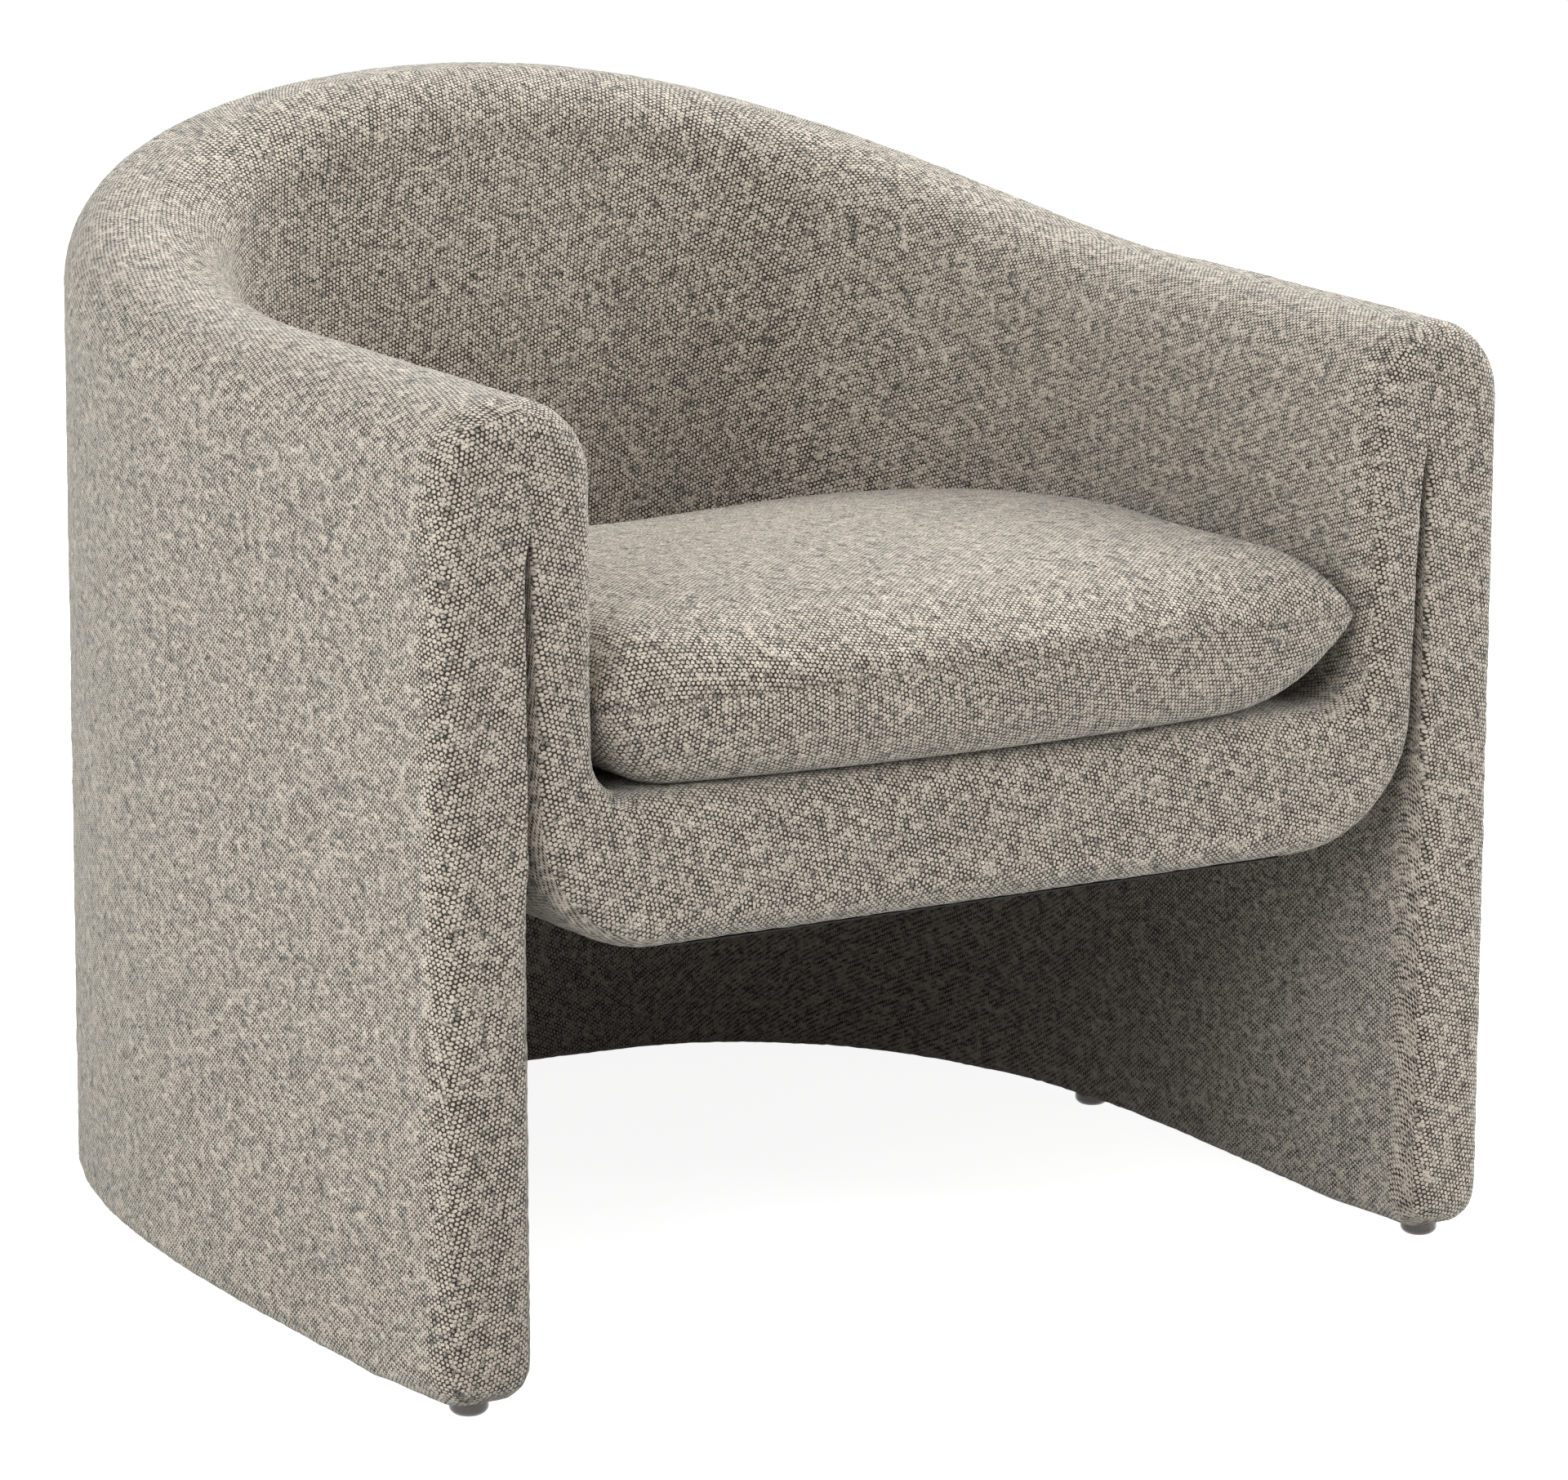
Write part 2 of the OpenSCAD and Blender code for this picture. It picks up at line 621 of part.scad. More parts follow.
module spring_clips() {
    inner = wire_d + 2 * seat_gap;
    color("silver") for (i = [0 : spring_count - 1])
        for (y = [spring_front_y, spring_back_y(spring_x(i)) - clip_l])
            translate([spring_x(i) - clip_w / 2, y, ring_top]) difference() {
                cube([clip_w, clip_l, clip_top - ring_top]);
                translate([(clip_w - inner) / 2, -cut, -cut]) cube([inner, clip_l + 2 * cut, inner + cut]);
            }
}

module deck_cloth() {
    u = along(tub_setback);
    color("gainsboro") translate([0, 0, cloth_z]) linear_extrude(cloth_t)
        inner_plan(tub_setback, [for (s = u) upper_t(s) + panel_ring_in + seat_gap]);
}

module deck_foam() {
    u = along(tub_setback);
    color("khaki") translate([0, 0, deck_foam_z]) linear_extrude(deck_z - pad_in - deck_foam_z)
        inner_plan(tub_setback, [for (s = u) seat_t(s) + deck_reach]);
}

// Room in the tub's foam for its frame, its springs and its deck
module tub_cavity() {
    setback = tub_setback - seat_gap;
    u = along(setback);
    v = along(rail_back);
    translate([0, 0, tub_bottom_z - cut]) linear_extrude(deck_foam_z + cut - tub_bottom_z)
        inner_plan(rail_back, [for (s = v) upper_t(s) + ring_in]);
    translate([0, 0, ring_z - seat_gap]) linear_extrude(ring_t + 2 * seat_gap)
        ring_plan(rail_back, [for (s = v) upper_t(s) + ring_out - seat_gap],
            [for (s = v) upper_t(s) + ring_in + cut]);
    translate([0, y_front + rail_back + seat_gap, 0]) rotate([90, 0, 0])
        linear_extrude(rail_t + 2 * seat_gap) rail_profile(seat_gap);
    translate([0, 0, ring_top]) linear_extrude(panel_ring_t + seat_gap)
        ring_plan(setback, [for (s = u) upper_t(s) + panel_ring_out - seat_gap],
            [for (s = u) upper_t(s) + panel_ring_in + seat_gap]);
    translate([0, 0, ring_top]) linear_extrude(deck_foam_z - ring_top)
        inner_plan(setback, [for (s = u) upper_t(s) + panel_ring_in]);
    translate([0, 0, deck_foam_z - cut]) linear_extrude(deck_z + 2 * cut - deck_foam_z)
        inner_plan(setback, [for (s = u) seat_t(s) + deck_reach - seat_gap]);
    band(setback,
        [for (s = u) upper_t(s) + panel_ring_out - seat_gap],
        [for (s = u) upper_t(s) + panel_ring_out + panel_t + seat_gap],
        [for (s = u) ring_top + seat_gap], [for (s = u) rim_z(s) - top_rail_drop + seat_gap]);
}

module tub_foam() {
    color("khaki") difference() {
        tub_form(pad_in);
        tub_cavity();
        punched_holes();
    }
}

module tub_cover() {
    color([0.70, 0.67, 0.62]) difference() {
        tub_form(0);
        tub_form(cover_t);
        translate([0, 0, tub_bottom_z - cut]) linear_extrude(cover_t + 2 * cut)
            inner_plan(rail_back, [for (s = along(rail_back)) upper_t(s) + ring_in + hem_w]);
        punched_holes();
    }
}

module dust_cover() {
    color("black") translate([0, 0, tub_bottom_z - cloth_t - seat_gap]) linear_extrude(cloth_t)
        inner_plan(hem_w, [for (s = along(hem_w)) upper_t(s) + ring_in]);
}

// Bolts from the inside of the seat ring, through both coverings, into inserts in the upper posts

bolt_arm_share = post_arm_shares[1];
bolt_facets = [post_facets[0], post_facets[3]];
bolt_head_d = 13;
bolt_head_h = 5;
washer_d = 20;
washer_t = 2;
insert_d = 12;
insert_l = 15;
// Depth of the flat that seats the washer in the curved ring
spot_depth = 1;
// Clearance of bolts and screws in foam and cloth
punch_gap = 1;
// Height of the bolts in the seat ring, above its middle because the tub is rounded below
bolt_lift_share = 0.64;
bolt_z = ring_z + ring_t * bolt_lift_share;
bolt_seats = concat([arm_seat(bolt_arm_share)], [for (i = bolt_facets) facet_seat(i)]);
function insert_x(seat) = post_depth(upper_t(seat[3])) - insert_l;
function ring_face(seat) = upper_t(seat[3]) + ring_in - frame_in - spot_depth;

// A round part of a bolt's axis, from x in from the seat
module bolt_part(seat, x, l, d, sides = 24) {
    at_seat(seat, bolt_z) translate([x, 0, 0]) rotate([0, 90, 0]) cylinder(d = d, h = l, $fn = sides);
}

module punched_holes() {
    both_sides() for (seat = bolt_seats)
        bolt_part(seat, insert_x(seat), ring_face(seat) - insert_x(seat), bolt_d + 2 * punch_gap, 8);
}

module tub_bolts() {
    color("silver") both_sides() for (seat = bolt_seats) {
        head_x = ring_face(seat) + washer_t + 2 * seat_gap;
        bolt_part(seat, insert_x(seat), head_x + bolt_head_h / 2 - insert_x(seat), bolt_d);
        bolt_part(seat, head_x, bolt_head_h, bolt_head_d, 6);
    }
}

module bolt_washers() {
    color("silver") both_sides() for (seat = bolt_seats) difference() {
        bolt_part(seat, ring_face(seat) + seat_gap, washer_t, washer_d);
        bolt_part(seat, ring_face(seat), washer_t + 2 * cut, bolt_d + 2 * seat_gap);
    }
}

module bolt_inserts() {
    color("goldenrod") both_sides() for (seat = bolt_seats) difference() {
        bolt_part(seat, insert_x(seat), insert_l, insert_d);
        bolt_part(seat, insert_x(seat) - cut, insert_l + 2 * cut, bolt_d + 2 * seat_gap);
    }
}

// Loose cushion: a knife-edge seam all round, a crowned top and an underside that is flat on the deck

// Width over which the top and the underside turn down to the seam, at the front and at the sides
edge_front_w = 62;
edge_side_w = 136;
under_front_w = 34;
under_side_w = 126;
// Part of the crown that builds up gently towards the middle, and the share of the way it takes
crown_h = 14;
crown_share = 0.83;
// Rings between the seam and the middle, as shares of the way
ring_shares = [0, 0.05, 0.12, 0.22, 0.36, 0.56, 0.78];
// Share of its depth by which a layer under the surface stays back from the seam
layer_share = 1.5;
mid_share = 0.38;
front_steps = 12;
cushion_side_steps = 2;
y_tip = y_front + tip_setback;
cushion_mid = [0, lerp(y_front, y_back, mid_share)];

function cushion_half(y) = arm_x(min(y, y_turn)) - arm_t - cushion_clear;
function draw_in(y) = side_draw * sin(180 * clamp((y - y_tip) / (y_turn - y_tip)));
function front_edge(x) = y_tip - front_bow * (1 - pow(x / cushion_half(y_tip), 2));

// Plan of the seam: the bowed front from right to left, then round the back to the right arm
cushion_front = [for (i = [0 : front_steps]) let (x = cushion_half(y_tip) * (1 - 2 * i / front_steps))
    [x, front_edge(x)]];
function cushion_side(side) = [for (i = [1 : cushion_side_steps])
    let (y = lerp(y_tip, y_turn, i / (cushion_side_steps + 1))) [side * (cushion_half(y) - draw_in(y)), y]];
cushion_back = [for (i = [0 : 2 * quarter_steps]) let (st = turn_station(180 - i * turn_step, 0),
    q = placed(st, [seat_t(st[2]) + cushion_clear, 0])) [q[0], q[1]]];
cushion_plan = concat(cushion_front, cushion_side(-1), cushion_back, flip(cushion_side(1)));

// Fullness of the cushion, 0 at the seam and 1 inside, over a width at the front and at the sides
function bulge(s) = let (c = 1 - clamp(s)) sqrt(max(0, 1 - c * c));
function side_share(i, g, p) = i <= front_steps ? 1 - clamp(abs(p[0]) / cushion_half(p[1])) : g;
function fullness(i, g, p, front_width, side_width) =
    bulge((p[1] - front_edge(p[0])) / front_width) * bulge(side_share(i, g, p) * half_w / side_width);
function seam_z(p) = deck_z + seam_h + tip_lift * pow(clamp(abs(p[0]) / cushion_half(y_tip)), 2)
    * clamp((cushion_mid[1] - p[1]) / (cushion_mid[1] - y_tip));

// Point i of the plan, moved a share g of the way to the middle, in the layer d under the surface
function cushion_point(i, g, d) = let (
        q = cushion_plan[i],
        v = cushion_mid - q,
        k = d * layer_share / norm(v))
    q + v * (k + (1 - k) * g);
function layer(g, d) = d * clamp(g / ring_shares[1]);
function top_z(i, g, p, d) = let (f = fullness(i, g, p, edge_front_w, edge_side_w))
    seam_z(p) + (deck_z + cushion_t - crown_h - seam_z(p)) * f + crown_h * smooth(g / crown_share) * f
        - layer(g, d);
function under_z(i, g, p, d) = let (f = fullness(i, g, p, under_front_w, under_side_w))
    seam_z(p) + (deck_z + seat_gap - seam_z(p)) * f + layer(g, d);

module cushion_form(d) {
    c = len(cushion_plan);
    k = len(ring_shares);
    seam = [for (i = [0 : c - 1]) let (p = cushion_point(i, 0, d)) [p[0], p[1], seam_z(p)]];
    top = [for (r = [1 : k - 1]) for (i = [0 : c - 1]) let (g = ring_shares[r], p = cushion_point(i, g, d))
        [p[0], p[1], top_z(i, g, p, d)]];
    under = [for (r = [1 : k - 1]) for (i = [0 : c - 1]) let (g = ring_shares[r], p = cushion_point(i, g, d))
        [p[0], p[1], under_z(i, g, p, d)]];
    ends = [for (z = [deck_z + cushion_t - d, deck_z + seat_gap + d]) [cushion_mid[0], cushion_mid[1], z]];
    apex = (2 * k - 1) * c;
    function up(r, i) = r * c + i % c;
    function down(r, i) = r == 0 ? i % c : (k - 1 + r) * c + i % c;
    polyhedron(points = concat(seam, top, under, ends), faces = concat(
        [for (r = [0 : k - 2]) for (i = [0 : c - 1]) [up(r, i), up(r + 1, i + 1), up(r + 1, i)]],
        [for (r = [0 : k - 2]) for (i = [0 : c - 1]) [up(r, i), up(r, i + 1), up(r + 1, i + 1)]],
        [for (i = [0 : c - 1]) [up(k - 1, i), up(k - 1, i + 1), apex]],
        [for (r = [0 : k - 2]) for (i = [0 : c - 1]) [down(r, i), down(r + 1, i), down(r + 1, i + 1)]],
        [for (r = [0 : k - 2]) for (i = [0 : c - 1]) [down(r, i), down(r + 1, i + 1), down(r, i + 1)]],
        [for (i = [0 : c - 1]) [down(k - 1, i), apex + 1, down(k - 1, i + 1)]]),
        convexity = 4);
}

module cushion_core() {
    color("lightyellow") cushion_form(cover_t + seat_gap);
}

module cushion_cover() {
    color([0.74, 0.71, 0.66]) difference() {
        cushion_form(0);
        cushion_form(cover_t);
    }
}

base_plate();
lower_posts();
ledge_plate();
upper_posts();
top_rail();
outer_board();
inner_board();
wall_foam();
wall_cover();
glides();
glide_screws();
seat_ring();
front_rail();
corner_blocks();
panel_ring();
inner_panel();
sinuous_springs();
spring_clips();
deck_cloth();
deck_foam();
tub_foam();
tub_cover();
dust_cover();
tub_bolts();
bolt_washers();
bolt_inserts();
cushion_core();
cushion_cover();
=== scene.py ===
# Upholstered tub chair: covers swept from the chair's plan, a simulated loose cushion, moulded glides,
# and wood, board, metal and cloth finishes on the frame inside. Metres, +Z up, the front faces -Y.
import math

import bmesh
import bpy
import numpy as np
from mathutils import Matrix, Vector
from mathutils.kdtree import KDTree


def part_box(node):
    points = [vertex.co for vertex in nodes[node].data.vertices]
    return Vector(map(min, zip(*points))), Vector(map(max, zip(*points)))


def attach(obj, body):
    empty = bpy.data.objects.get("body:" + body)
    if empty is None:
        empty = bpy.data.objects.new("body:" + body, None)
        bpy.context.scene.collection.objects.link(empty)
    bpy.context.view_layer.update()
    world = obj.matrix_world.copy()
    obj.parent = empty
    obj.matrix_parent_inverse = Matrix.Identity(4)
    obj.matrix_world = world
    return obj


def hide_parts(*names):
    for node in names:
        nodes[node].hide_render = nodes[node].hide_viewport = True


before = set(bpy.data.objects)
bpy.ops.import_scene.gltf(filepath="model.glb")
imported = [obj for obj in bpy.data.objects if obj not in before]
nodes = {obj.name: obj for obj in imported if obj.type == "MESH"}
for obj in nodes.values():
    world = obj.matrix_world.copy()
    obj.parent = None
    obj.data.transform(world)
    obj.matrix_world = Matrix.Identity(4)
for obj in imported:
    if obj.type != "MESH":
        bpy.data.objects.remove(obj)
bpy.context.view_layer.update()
print("frame loaded:", len(nodes), "nodes")


# Camera and light

camera = {"place": (-1.79771, -3.10534, 1.06293), "down": 11.85, "turn": -31.09, "lens": 124.715, "sensor": 36.0}
lamp = {"aim": (0, 0, 0.35), "size": 2.4}
lights = {
    "key": {"place": (-3.6, -2.6, 2.6), "power": 89},
    "side": {"place": (-4.2, -0.6, 1.3), "power": 88},
    "fill": {"place": (3.2, -2.6, 1.6), "power": 92},
    "rear": {"place": (2.6, 1.2, 3.4), "power": 191},
    "top": {"place": (0.2, -0.2, 3.6), "power": 32},
}
room = {"daylight": 0.34, "floorTone": 0.62, "floorGlow": 0.9, "floorSize": 14}


def addCamera():
    made = bpy.data.objects.new("camera", bpy.data.cameras.new("camera"))
    bpy.context.scene.collection.objects.link(made)
    made.location = camera["place"]
    made.rotation_euler = (math.radians(90 - camera["down"]), 0, math.radians(camera["turn"]))
    made.data.lens = camera["lens"]
    made.data.sensor_width = camera["sensor"]
    bpy.context.scene.camera = made


def addLight(name, setting):
    made = bpy.data.objects.new(name, bpy.data.lights.new(name, "AREA"))
    bpy.context.scene.collection.objects.link(made)
    made.location = setting["place"]
    made.rotation_euler = (Vector(lamp["aim"]) - made.location).to_track_quat("-Z", "Y").to_euler()
    made.data.size = lamp["size"]
    made.data.energy = setting["power"]


# Shader maths: a socket with operators, and one method that adds any other node

class Socket:
    def __init__(self, finish, output):
        self.finish, self.output = finish, output

    def __add__(self, other):
        return self.finish.maths("ADD", self, other)

    def __radd__(self, other):
        return self.finish.maths("ADD", other, self)

    def __sub__(self, other):
        return self.finish.maths("SUBTRACT", self, other)

    def __mul__(self, other):
        return self.finish.maths("MULTIPLY", self, other)


class Finish:
    def __init__(self, name, tree=None):
        if tree is None:
            self.material = bpy.data.materials.new(name)
            self.material.use_nodes = True
            tree = self.material.node_tree
        self.tree = tree
        tree.nodes.clear()

    def node(self, kind, settings=None, sockets=None, out=0):
        made = self.tree.nodes.new("ShaderNode" + kind)
        for key, value in (settings or {}).items():
            setattr(made, key, value)
        for key, value in (sockets or {}).items():
            if isinstance(value, Socket):
                self.tree.links.new(value.output, made.inputs[key])
            elif isinstance(value, tuple) and made.inputs[key].type == "RGBA":
                made.inputs[key].default_value = (*value, 1)
            else:
                made.inputs[key].default_value = value
        return Socket(self, made.outputs[out])

    def maths(self, operation, first, second=0.0):
        return self.node("Math", {"operation": operation}, {0: first, 1: second})

    def place(self):
        return self.node("TexCoord", out="Object")

    def noise(self, where, scale, detail=2.0, roughness=0.5, out=0):
        return self.node("TexNoise", {}, {"Vector": where, "Scale": scale, "Detail": detail,
                                          "Roughness": roughness}, out)

    def step(self, value, low, high):
        return self.node("MapRange", {"interpolation_type": "SMOOTHSTEP"}, {
            "Value": value, "From Min": low, "From Max": high})

    def mix(self, factor, first, second, blend="MIX"):
        return self.node("Mix", {"data_type": "RGBA", "blend_type": blend}, {0: factor, 6: first, 7: second}, 2)

    def vector(self, operation, first, second):
        return self.node("VectorMath", {"operation": operation}, {0: first, 1: second})

    def stretched(self, where, scale):
        return self.vector("MULTIPLY", where, scale)

    def wave(self, where, reach, turn):
        a = math.radians(turn)
        along = self.node("VectorMath", {"operation": "DOT_PRODUCT"}, {
            0: where, 1: (reach * math.cos(a), reach * math.sin(a), 0)}, "Value")
        return self.maths("COSINE", along)

    def bump(self, height, depth):
        return self.node("Bump", {}, {"Height": height, "Distance": depth, "Strength": 1.0})

    def finished(self, sockets):
        self.surface(self.node("BsdfPrincipled", {}, sockets))
        return self.material

    def surface(self, shader, kind="OutputMaterial"):
        made = self.tree.nodes.new("ShaderNode" + kind)
        self.tree.links.new(shader.output, made.inputs["Surface"])


def addRoom():
    world = bpy.data.worlds.new("room")
    bpy.context.scene.world = world
    world.use_nodes = True
    sky = Finish("room", world.node_tree)
    seen = seenDirectly(sky)
    soft = sky.node("Background", {}, {"Color": (1, 1, 1), "Strength": room["daylight"]})
    white = sky.node("Background", {}, {"Color": (1, 1, 1), "Strength": 1.0})
    sky.surface(sky.node("MixShader", {}, {0: seen, 1: soft, 2: white}), "OutputWorld")

    bpy.ops.mesh.primitive_plane_add(size=room["floorSize"])
    floor = bpy.context.object
    floor.name = "floor"
    pale = Finish("paleFloor")
    matt = pale.node("BsdfDiffuse", {}, {"Color": (room["floorTone"],) * 3})
    glow = pale.node("Emission", {}, {"Color": (1, 1, 1), "Strength": room["floorGlow"]})
    lit = pale.node("AddShader", {}, {0: matt, 1: glow})
    pale.surface(pale.node("MixShader", {}, {0: seenDirectly(pale), 1: matt, 2: lit}))
    floor.data.materials.append(pale.material)


def seenDirectly(finish):
    direct, glossy, through = [finish.node("LightPath", out=f"Is {kind} Ray")
                               for kind in ("Camera", "Glossy", "Transmission")]
    return finish.maths("MAXIMUM", finish.maths("MAXIMUM", direct, glossy), through)


addCamera()
addRoom()
for name, setting in lights.items():
    addLight(name, setting)
print("camera, floor and lights in place")


# Boucle: a honeycomb of pale nubs over a darker ground, broken up by noise, with pits and soft patches

boucle = {
    "pitch": 0.0031, "turn": 12, "wander": 0.0007, "wanderSize": 0.006, "edge": (0.14, 0.40), "merge": 0.07,
    "uneven": 1.2, "unevenSize": 0.0046, "fuzz": 0.35, "fuzzSize": 1 / 1100, "fineSize": 1 / 300, "grain": 0.55,
    "pits": 0.6, "pitSize": 0.0055, "pitEdge": (0.44, 0.30), "patch": 0.12, "patchSize": 0.035,
    "ground": (0.038, 0.030, 0.0225), "nub": (0.57, 0.50, 0.415), "tint": (0.46, 0.38, 0.32),
    "tintShare": 0.5, "tintSize": 1 / 210, "tintEdge": (0.5, 0.75), "seamPaintedShade": 0.45, "depth": 0.0014,
    "rough": 0.95, "specular": 0.12, "sheen": 0.5, "sheenRough": 0.45, "sheenTint": (0.97, 1.0, 0.95),
}


def boucleFinish(name, look, seam=False):
    finish = Finish(name)
    where = finish.place()
    flat = finish.node("UVMap", {"uv_map": "cloth"})
    pushed = finish.noise(flat, 1 / look["wanderSize"], 1, out="Color")
    pushed = finish.stretched(finish.vector("SUBTRACT", pushed, (0.5, 0.5, 0.5)), (2 * look["wander"],) * 3)
    flat = finish.vector("ADD", flat, pushed)
    # Three waves at 120 degrees add up to a honeycomb, from -1.5 between the cells to 3 at their middles
    reach = 4 * math.pi / (math.sqrt(3) * look["pitch"])
    lattice = sum(finish.wave(flat, reach, look["turn"] + turn) for turn in (0, 120, 240))
    grained = finish.stretched(where, (1, look["grain"], 1))
    uneven = finish.noise(grained, 1 / look["unevenSize"], 3, 0.65) - 0.5
    fuzz = finish.noise(where, 1 / look["fuzzSize"], 2, 0.6) - 0.5
    patch = finish.noise(where, 1 / look["patchSize"], 2) - 0.5
    fine = finish.noise(grained, 1 / look["fineSize"], 3, 0.6) - 0.5
    net = (lattice + 1.5) * (1 / 4.5) + uneven * look["uneven"] + fuzz * look["fuzz"] + look["merge"]
    nub = finish.step(net, *look["edge"])
    pits = finish.step(finish.noise(grained, 1 / look["pitSize"], 2, 0.6), *look["pitEdge"])
    tone = 1 + patch * (2 * look["patch"]) + fine - pits * look["pits"]
    hue = finish.step(finish.noise(where, 1 / look["tintSize"], 1), *look["tintEdge"]) * look["tintShare"]
    colour = finish.mix(nub, look["ground"], finish.mix(hue, look["nub"], look["tint"]))
    colour = finish.mix(1.0, colour, finish.node("CombineColor", {}, {0: tone, 1: tone, 2: tone}), "MULTIPLY")
    height = nub * (1 + fine) + uneven * 2 - pits
    if seam:
        # Painted shade: along the seam's crease the colour is darkened towards the ground colour
        line = finish.node("Attribute", {"attribute_name": "seam"}, {}, "Fac")
        colour = finish.mix(line * look["seamPaintedShade"], colour, look["ground"])
    return finish.finished({
        "Base Color": colour, "Roughness": look["rough"], "Specular IOR Level": look["specular"],
        "Sheen Weight": look["sheen"], "Sheen Roughness": look["sheenRough"], "Sheen Tint": look["sheenTint"],
        "Normal": finish.bump(height, look["depth"])})


boucleCloth = boucleFinish("boucle", boucle)
# The cushion's copy has slightly paler nubs than the covers' boucle: painted light on the same fabric
cushionCloth = boucleFinish("cushionBoucle", {**boucle, "nub": (0.58, 0.508, 0.42)}, True)


# Plan of the chair: a U of stations from the right arm's front, round the back, to the left arm's front

wallLow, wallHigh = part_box("wall_cover")
plan = {
    "half": wallHigh.x, "frontHalf": 0.3885, "front": wallLow.y, "back": wallHigh.y, "arm": 0.275,
    "fullness": 2.9, "armHigh": 0.612, "armRise": 0.011, "backHigh": wallHigh.z, "level": 2 / 7,
    "frontRound": 0.021, "spacing": 0.0056, "endSteps": 7, "flatSteps": 3,
}
wall = {
    "arm": 0.063, "back": 0.085, "footArm": 0.066, "footBack": 0.106, "footShares": (0.33, 0.76),
    "rim": 0.050, "gap": wallLow.z, "footRound": 0.010, "cornerRound": 0.024, "cornerShare": 0.09,
    "groove": 0.0050, "grooveDrop": 0.095, "grooveFade": 0.020, "ledge": (0.014, 0.062), "rows": 118, "rungs": 6,
    "lean": 0.007, "leanShare": 0.35,
}
tub = {
    "arm": 0.110, "rimBack": 0.125, "seatBack": 0.190, "bottom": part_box("tub_cover")[0].z, "deck": 0.370,
    "corner": 0.090, "fillet": 0.028, "rollFade": 0.012, "rows": 80, "rungs": 10, "columns": 100,
}
plan["turnY"] = plan["front"] + plan["arm"]
plan["turnDeep"] = plan["back"] - plan["turnY"]


def lerp(a, b, s):
    return a + (b - a) * s


def clamp(s):
    return min(1.0, max(0.0, s))


def smooth(s):
    c = clamp(s)
    return c * c * (3 - 2 * c)


def turnPoint(a):
    n = plan["fullness"]
    x, y = abs(math.cos(a)) / plan["half"], abs(math.sin(a)) / plan["turnDeep"]
    r = (x ** n + y ** n) ** (-1 / n)
    return np.array((r * math.cos(a), plan["turnY"] + r * math.sin(a)))


def turnInward(a):
    n = plan["fullness"]
    p = turnPoint(a)
    x, y = p[0] / plan["half"], (p[1] - plan["turnY"]) / plan["turnDeep"]
    g = np.array((math.copysign(abs(x) ** (n - 1), x) / plan["half"], abs(y) ** (n - 1) / plan["turnDeep"]))
    return -g / np.linalg.norm(g)


def armX(y):
    return lerp(plan["frontHalf"], plan["half"], (y - plan["front"]) / plan["arm"])


def runOf(path):
    return np.concatenate(([0], np.cumsum(np.linalg.norm(np.diff(path, axis=0), axis=1))))


quarter = np.linspace(0, math.pi / 2, 400)
quarterRun = runOf([turnPoint(a) for a in quarter])
halfRun = plan["arm"] + quarterRun[-1]


# A station is a point of the outline, the way inward, its share of the run from the arm's front to the
# middle of the back, and how far the front rounding sets its section in

def armStation(y, side, inset=0.0):
    return np.array((side * armX(y), y)), np.array((-side, 0.0)), (y - plan["front"]) / halfRun, inset


def turnStation(a):
    run = np.interp(min(a, math.pi - a), quarter, quarterRun)
    return turnPoint(a), turnInward(a), (plan["arm"] + run) / halfRun, 0.0


def stations():
    r = plan["frontRound"]
    rounding = [(plan["front"] + r - r * math.sin(a), r - r * math.cos(a))
                for a in np.linspace(math.pi / 2, 0, plan["endSteps"] + 1)]
    count = round((plan["arm"] - r) / plan["spacing"])
    straight = [(y, 0.0) for y in np.linspace(plan["front"] + r, plan["turnY"], count + 1)[1:-1]]
    count = round(quarterRun[-1] / plan["spacing"])
    angles = np.interp(np.linspace(0, quarterRun[-1], count + 1), quarterRun, quarter)
    arm = rounding + straight
    return ([armStation(y, 1, e) for y, e in arm] + [turnStation(a) for a in angles]
            + [turnStation(math.pi - a) for a in angles[-2::-1]] + [armStation(y, -1, e) for y, e in arm[::-1]])


# Heights and thicknesses at a share u of that run

def rise(u):
    return smooth((u - plan["level"]) / (1 - plan["level"]))


def rimZ(u):
    return (plan["armHigh"] + plan["armRise"] * clamp(u / plan["level"])
            + (plan["backHigh"] - plan["armHigh"] - plan["armRise"]) * rise(u))


def upperT(u):
    return lerp(wall["arm"], wall["back"], rise(u))


def lowerT(u):
    a, b = wall["footShares"]
    return lerp(wall["footArm"], wall["footBack"], smooth((u - a) / (b - a)))


def footRadius(u):
    return lerp(wall["cornerRound"], wall["footRound"], clamp(u / wall["cornerShare"]))


def rimT(u):
    return lerp(tub["arm"], tub["rimBack"], rise(u))


def seatT(u):
    return lerp(tub["arm"], tub["seatBack"], rise(u))


def crownZ(n, u):
    inner = n - (rimT(u) - wall["rim"])
    return rimZ(u) - wall["rim"] + math.sqrt(max(0, wall["rim"] ** 2 - max(0, inner) ** 2))


# Sections: rows of distance in from the outline, height, and share of the front rounding taken

def arc(centre, radius, start, end, steps, share=1.0):
    return [(centre[0] + radius * math.cos(a), centre[1] + radius * math.sin(a), share)
            for a in np.radians(np.linspace(start, end, steps + 1))]


